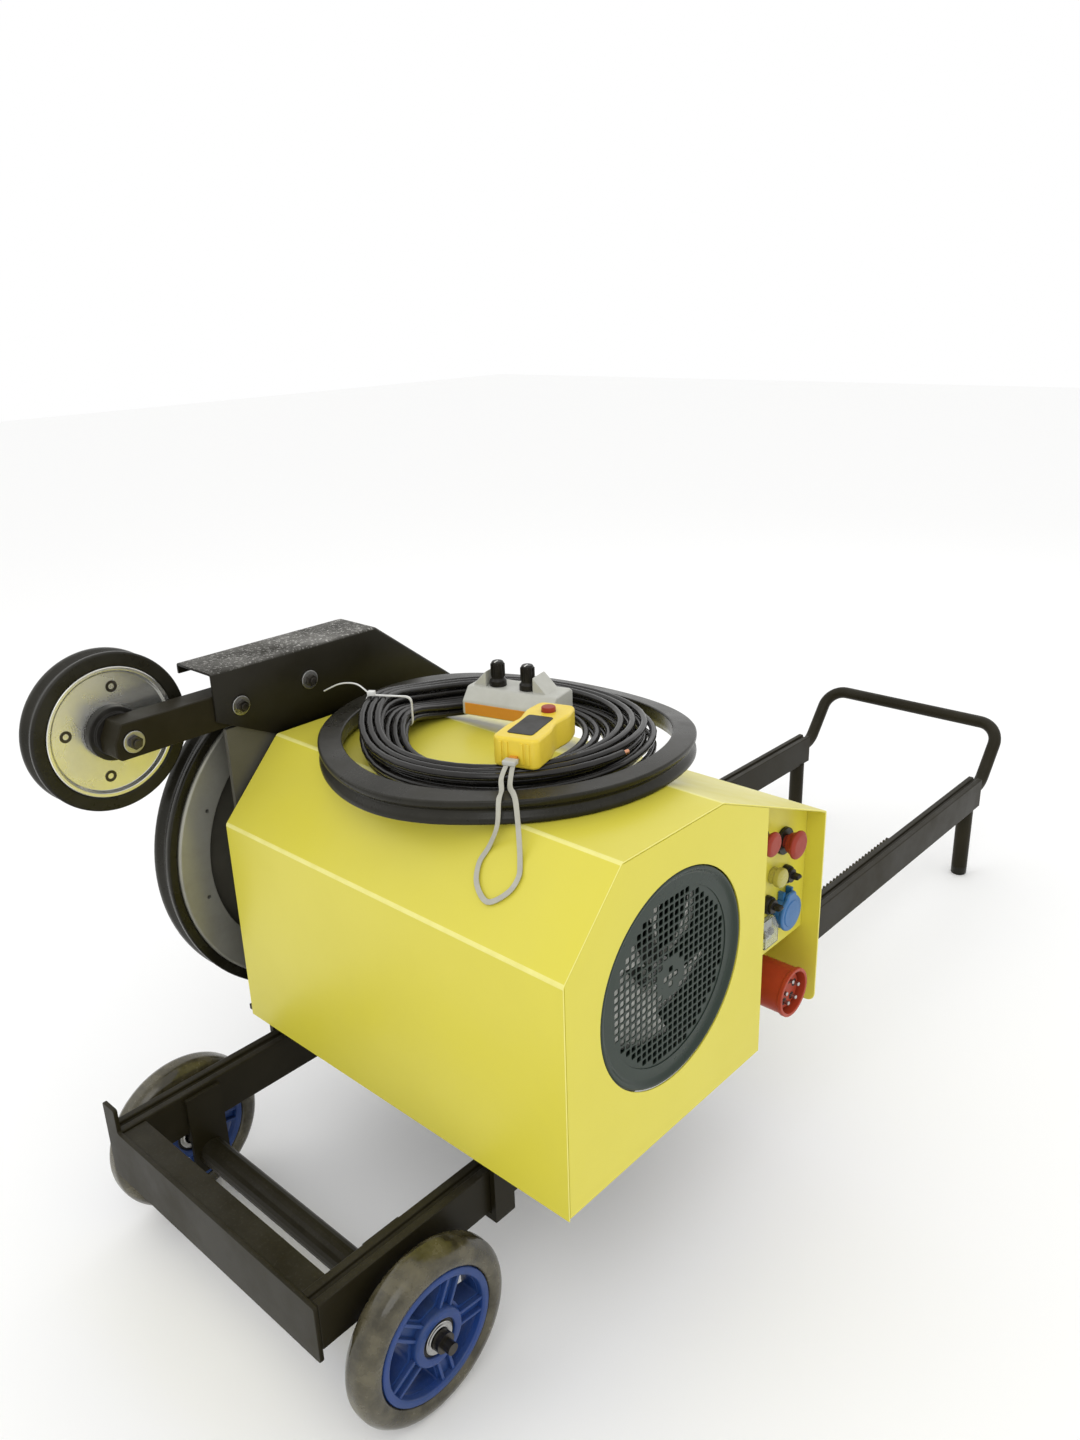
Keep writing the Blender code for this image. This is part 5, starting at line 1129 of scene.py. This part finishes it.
def add_socket():
    """A round socket with a hinged lid, whose two ears stand on either side of the lid's tongue."""
    low, high = (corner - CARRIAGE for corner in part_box("socket_base"))
    radius, bore, floor = 0.025, 0.019, 0.003
    place = Vector((PANEL_X, (low.y + high.y) / 2, low.z + radius))
    deep = high.x - PANEL_X
    profile = ((CLEARANCE, 0), (CLEARANCE, radius), (deep, radius - 0.0005), (deep, bore), (floor, bore),
               (floor, 0))
    ears = [block((0.0006, y - 0.0025, 0.022), (deep - CLEARANCE, y + 0.0025, 0.0338), 0.001)
            for y in (-0.010, 0.010)]
    shell = joined(lathed(profile, 0.001, 56), *ears)
    piece("socket_shell", shell, blue_socket, instead=("socket_base",), at=place)
    near, far = (corner.x - CARRIAGE.x - PANEL_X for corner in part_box("socket_lid"))
    lid, tongue = 0.026, 0.012
    gap = np.arcsin(tongue / lid)
    outline = [polar(lid, angle) for angle in np.linspace(pi / 2 + gap, 5 * pi / 2 - gap, 56)]
    outline += [(0.0105, 0.0290), (0.0070, 0.0315), (-0.0070, 0.0315), (-0.0105, 0.0290)]
    flap = softened(prism(outline, "X", near, far), 0.0026, 4)
    boss = lathed(((far - 0.001, 0), (far - 0.001, 0.020), (far + 0.0012, 0.019), (far + 0.0012, 0)),
                  0.001, 56)
    piece("socket_flap", joined(flap, boss), blue_socket, "lid", ("socket_lid",), at=place)


def add_breaker():
    """Two switches under a clear hinged cover with a slanted top."""
    place = on_panel("breaker_cover")
    half, width, wall = 0.019, 0.017, 0.002
    outer = ((CLEARANCE, -half), (0.0150, -half), (0.0150, 0.006), (0.0080, half), (CLEARANCE, half))
    inner = ((-wall, wall - half), (0.0132, wall - half), (0.0132, 0.005), (0.0072, half - wall),
             (-wall, half - wall))
    shell = softened(prism(outer, "Y", -width, width), 0.0015)
    cover = carved(shell, [prism(inner, "Y", -0.0152, 0.0152)])
    piece("breaker_window_shell", cover, clear, "breaker_window", ("breaker_cover",),
          at=place)
    housing = block((0.0004, -0.0135, -0.0155), (0.0056, 0.0135, 0.0155), 0.0008)
    piece("breaker_block", housing, white_plastic, at=place)
    levers = [block((0.0052, y - 0.0042, -0.006), (0.0108, y + 0.0042, 0.0025), 0.001)
              for y in (-0.0065, 0.0065)]
    piece("breaker_toggles", joined(*levers), black_plastic, at=place)


def add_inlet():
    """A ribbed round mains inlet: a shroud with a lip, a core and five pins, each ringed in black as painted
    shade for its socket.
    """
    low, high = (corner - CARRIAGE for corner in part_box("inlet_body"))
    place = (0, (low.y + high.y) / 2, (low.z + high.z) / 2)
    back, front, radius = low.x, high.x, (high.y - low.y) / 2
    flange, neck_end, well, core = back + 0.008, back + 0.030, back + 0.042, front - 0.010
    neck, sleeve, bore, core_radius = 0.030, 0.0342, 0.031, 0.0262
    profile = ((back, 0), (back, radius), (flange, radius), (flange, neck), (neck_end, neck),
               (neck_end, sleeve),
               (front - 0.007, sleeve), (front - 0.006, radius), (front, radius), (front, bore), (well, bore),
               (well, core_radius), (core, core_radius), (core, 0))
    ribs = []
    for number in range(20):
        rib = block((flange + 0.0007, -0.0016, 0.0295), (neck_end - 0.0005, 0.0016, 0.0335), 0.0006)
        ribs.append(spun(rib, "X", 2 * pi * number / 20))
    shell = joined(lathed(profile, 0.0012, 64), *ribs)
    piece("inlet_shell", shell, inlet_red, instead=("inlet_body",), at=place)
    spots = circle(0.0165, 5, turn=pi / 2)
    root = core - 0.002
    pins = [shifted(rod("X", 0.0030, root, front - 0.0015, 20, 0.0015), (0, y, z)) for y, z in spots]
    piece("inlet_pins", joined(*pins), bare_steel, at=place)
    # painted shade: black discs around the pins stand in for the shade down in their sockets
    well_shades = [shifted(rod("X", 0.0056, root, core + 0.0004, 24, 0.0002), (0, y, z)) for y, z in spots]
    piece("inlet_well_shade", joined(*well_shades), black_plastic, at=place)


# Things carried on the hood

def add_spare_tyre():
    """A grooved rubber ring that lies on the roof and follows it down at the front and rear."""
    inner, outer, thick = 0.2186, 0.250, 0.030
    profile = ((0.0, outer), (0.25, outer), (0.5, outer - 0.007), (0.75, outer), (1.0, outer), (1.0, inner),
               (0.4, inner), (0.0, inner + 0.007))
    ring = hoop([(share * thick, radius) for share, radius in profile], 0.003, 144, axis="Z")
    for corner in ring.verts:
        corner.co += Vector((RING_X, RING_Y, HOOD_TOP + 0.0006))
        corner.co.z -= droop(corner.co.y)
    piece("spare_belt", ring, rubber, instead=("spare_tyre",))


def laying(place, turn):
    """How a piece drawn about its own middle is turned and put on the hood."""
    def lay(shape):
        return shifted(spun(shape, "Z", turn), place)
    return lay


REMOTE = Vector((0.249, 0.327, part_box("remote_body")[0].z - CARRIAGE.z))
REMOTE_TURN = radians(14)


def add_remote():
    """A grey box with a sloped front, two shoulders, an orange strip and two ribbed knobs."""
    lay = laying(REMOTE, REMOTE_TURN)
    half, length, top = 0.033, 0.070, 0.038
    outline = ((-half, 0), (half, 0), (half, 0.034), (0.027, top), (-0.017, top), (-half, 0.0205))
    shell = softened(prism(outline, "X", -length, length), 0.003, 3)
    piece("remote_shell", lay(shell), grey_plastic, instead=("remote_body",))
    ramps = [prism(((x, 0.036), (x + reach, 0.036), (x + reach, 0.060)), "Y", -0.012, 0.024)
             for x, reach in ((-0.066, 0.0235), (0.054, -0.0235))]
    piece("remote_shoulders", lay(softened(joined(*ramps), 0.002)), grey_plastic)
    strip = block((-0.0655, -0.0336, 0.0015), (0.0655, -0.0315, 0.0185), 0.001)
    piece("remote_strip", lay(strip), orange)
    tall = 0.0355
    profile = ((CLEARANCE, 0), (CLEARANCE, 0.012), (0.008, 0.0118), (0.011, 0.0092), (tall - 0.0015, 0.0084),
               (tall, 0.0070), (tall, 0))
    for number, x in ((1, -0.0295), (2, 0.0175)):
        ribs = []
        for step in range(12):
            rib = block((-0.0007, 0.0080, 0.013), (0.0007, 0.0100, 0.032), 0.0003, 1)
            ribs.append(spun(rib, "Z", 2 * pi * step / 12))
        dial = shifted(joined(lathed(profile, 0.0008, 40, axis="Z"), *ribs), (x, 0, top))
        piece(f"remote_dial_{number}", lay(dial), black_plastic, f"knob_{number}",
              (f"remote_knob_{number}",))
        mark = block((-0.001, -0.0078, 0.0345), (0.001, 0.001, 0.0357), 0.0003, 1)
        piece(f"remote_mark_{number}", lay(shifted(mark, (x, 0, top))), white_plastic,
              f"knob_{number}")


def add_pendant():
    """A waisted yellow hand piece with a black key pad, a red button and a strap clasp."""
    lay = laying(PENDANT, PENDANT_TURN)
    end, wide, narrow, thick = 0.065, 0.030, 0.024, 0.038
    right = [(narrow, -end), (wide, -0.059), (wide, -0.0217), (narrow, 0), (wide, 0.0325), (narrow, end)]
    outline = right + [(-x, y) for x, y in reversed(right)]
    body = softened(prism(eased(outline, 0.009, 4, closed=True), "Z", 0, thick), 0.004, 3)
    button_place = (0, 0.035, 0)
    body = carved(body, [shifted(rod("Z", 0.0095, 0.028, 0.05, 32, 0), button_place)])
    piece("pendant_shell", lay(body), yellow, instead=("pendant_body",))
    pad = eased(((-0.017, -0.050), (0.017, -0.050), (0.017, 0.014), (-0.017, 0.014)), 0.005, 4, closed=True)
    keys = softened(prism(pad, "Z", thick - 0.0008, thick + 0.0008), 0.0006)
    piece("pendant_keys", lay(keys), black_plastic)
    ridges = [block((x - 0.0022, -0.0668, 0.006), (x + 0.0022, -0.0640, 0.033), 0.0008)
              for x in (-0.018, -0.010, 0.010, 0.018)]
    piece("pendant_ridges", lay(joined(*ridges)), yellow)
    loop = block((-0.0055, -0.0700, 0.009), (0.0055, -0.0640, 0.0165), 0.0015)
    piece("pendant_loop", lay(loop), orange)
    clasp = block((-0.0085, -0.0820, 0.0092), (0.0085, -0.0700, 0.0158), 0.002, 3)
    piece("pendant_clasp", lay(clasp), grey_plastic)
    button = shifted(rod("Z", 0.009, 0.032, 0.044, 36, 0.0015), button_place)
    piece("pendant_cap", lay(button), red, "pendant_button", ("pendant_stop",))


def add_tie():
    """A white band around all the loops at one place, with its head and its loose tail."""
    tied = [place - CARRIAGE for place in coil_points()[TIE_STEP::POINTS_IN_LOOP]]
    reach = [hypot(place.x - RING_X, place.y - RING_Y) for place in tied]
    height = [place.z for place in tied]
    margin, thick, half = CABLE_RADIUS + CLEARANCE, 0.0015, 0.0018
    inside, outside = min(reach) - margin, max(reach) + margin
    bottom, top = min(height) - margin, max(height) + margin
    loops = []
    for wall in (thick, 0):
        corners = ((inside - wall, bottom - wall), (outside + wall, bottom - wall),
                   (outside + wall, top + wall), (inside - wall, top + wall))
        loops.append(eased(corners, 0.010, 6, closed=True))
    band = pierced(loops, "Y", -half, 2 * half)
    head = block((outside - 0.012, -0.0045, top + 0.0005), (outside - 0.002, 0.0045, top + 0.0065), 0.001)
    whole = spun(joined(band, head), "Z", TIE_ANGLE)
    tie = piece("tie_band", whole, white_plastic, instead=("cable_tie",),
                at=(RING_X, RING_Y, 0))
    x, y = polar(outside - 0.003, TIE_ANGLE)
    knot = CARRIAGE + Vector((RING_X + x, RING_Y + y, top + 0.0035))
    steps = ((0, 0, 0), (-0.024, -0.001, 0.008), (-0.060, -0.001, 0.001), (-0.100, 0, -0.018))
    tail = tube("tie_tail", smooth_path([knot + Vector(step) for step in steps], 8), 0.0011, white_plastic)
    carried(tail)
    return tie


add_camera()
add_stage()
add_cable(add_tie())
add_lanyard()
add_hood()
add_fan_end()
add_guard()
add_cowl()
add_fan()
add_drive_pulley()
add_guide_pulley()
add_arm()
add_rails()
add_front()
add_handle()
add_wheel("near")
add_wheel("far")
add_controls()
add_socket()
add_breaker()
add_inlet()
add_spare_tyre()
add_remote()
add_pendant()

PLAIN_NODES = {
    black_paint: ("axle_beam", "base_plate", "front_roller_yoke", "rear_roller_yoke"),
    dark_steel: ("axle", "axle_nut", "feed_rack", "feed_pinion"),
    bare_steel: ("front_roller_set", "rear_roller_set", "motor_shaft"),
    casting: ("feed_motor", "motor_body"),
    grey_steel: ("end_plate",),
    lemon: ("control_panel",),
}
for material, names in PLAIN_NODES.items():
    for name in names:
        for slot in nodes[name].material_slots:
            slot.material = material
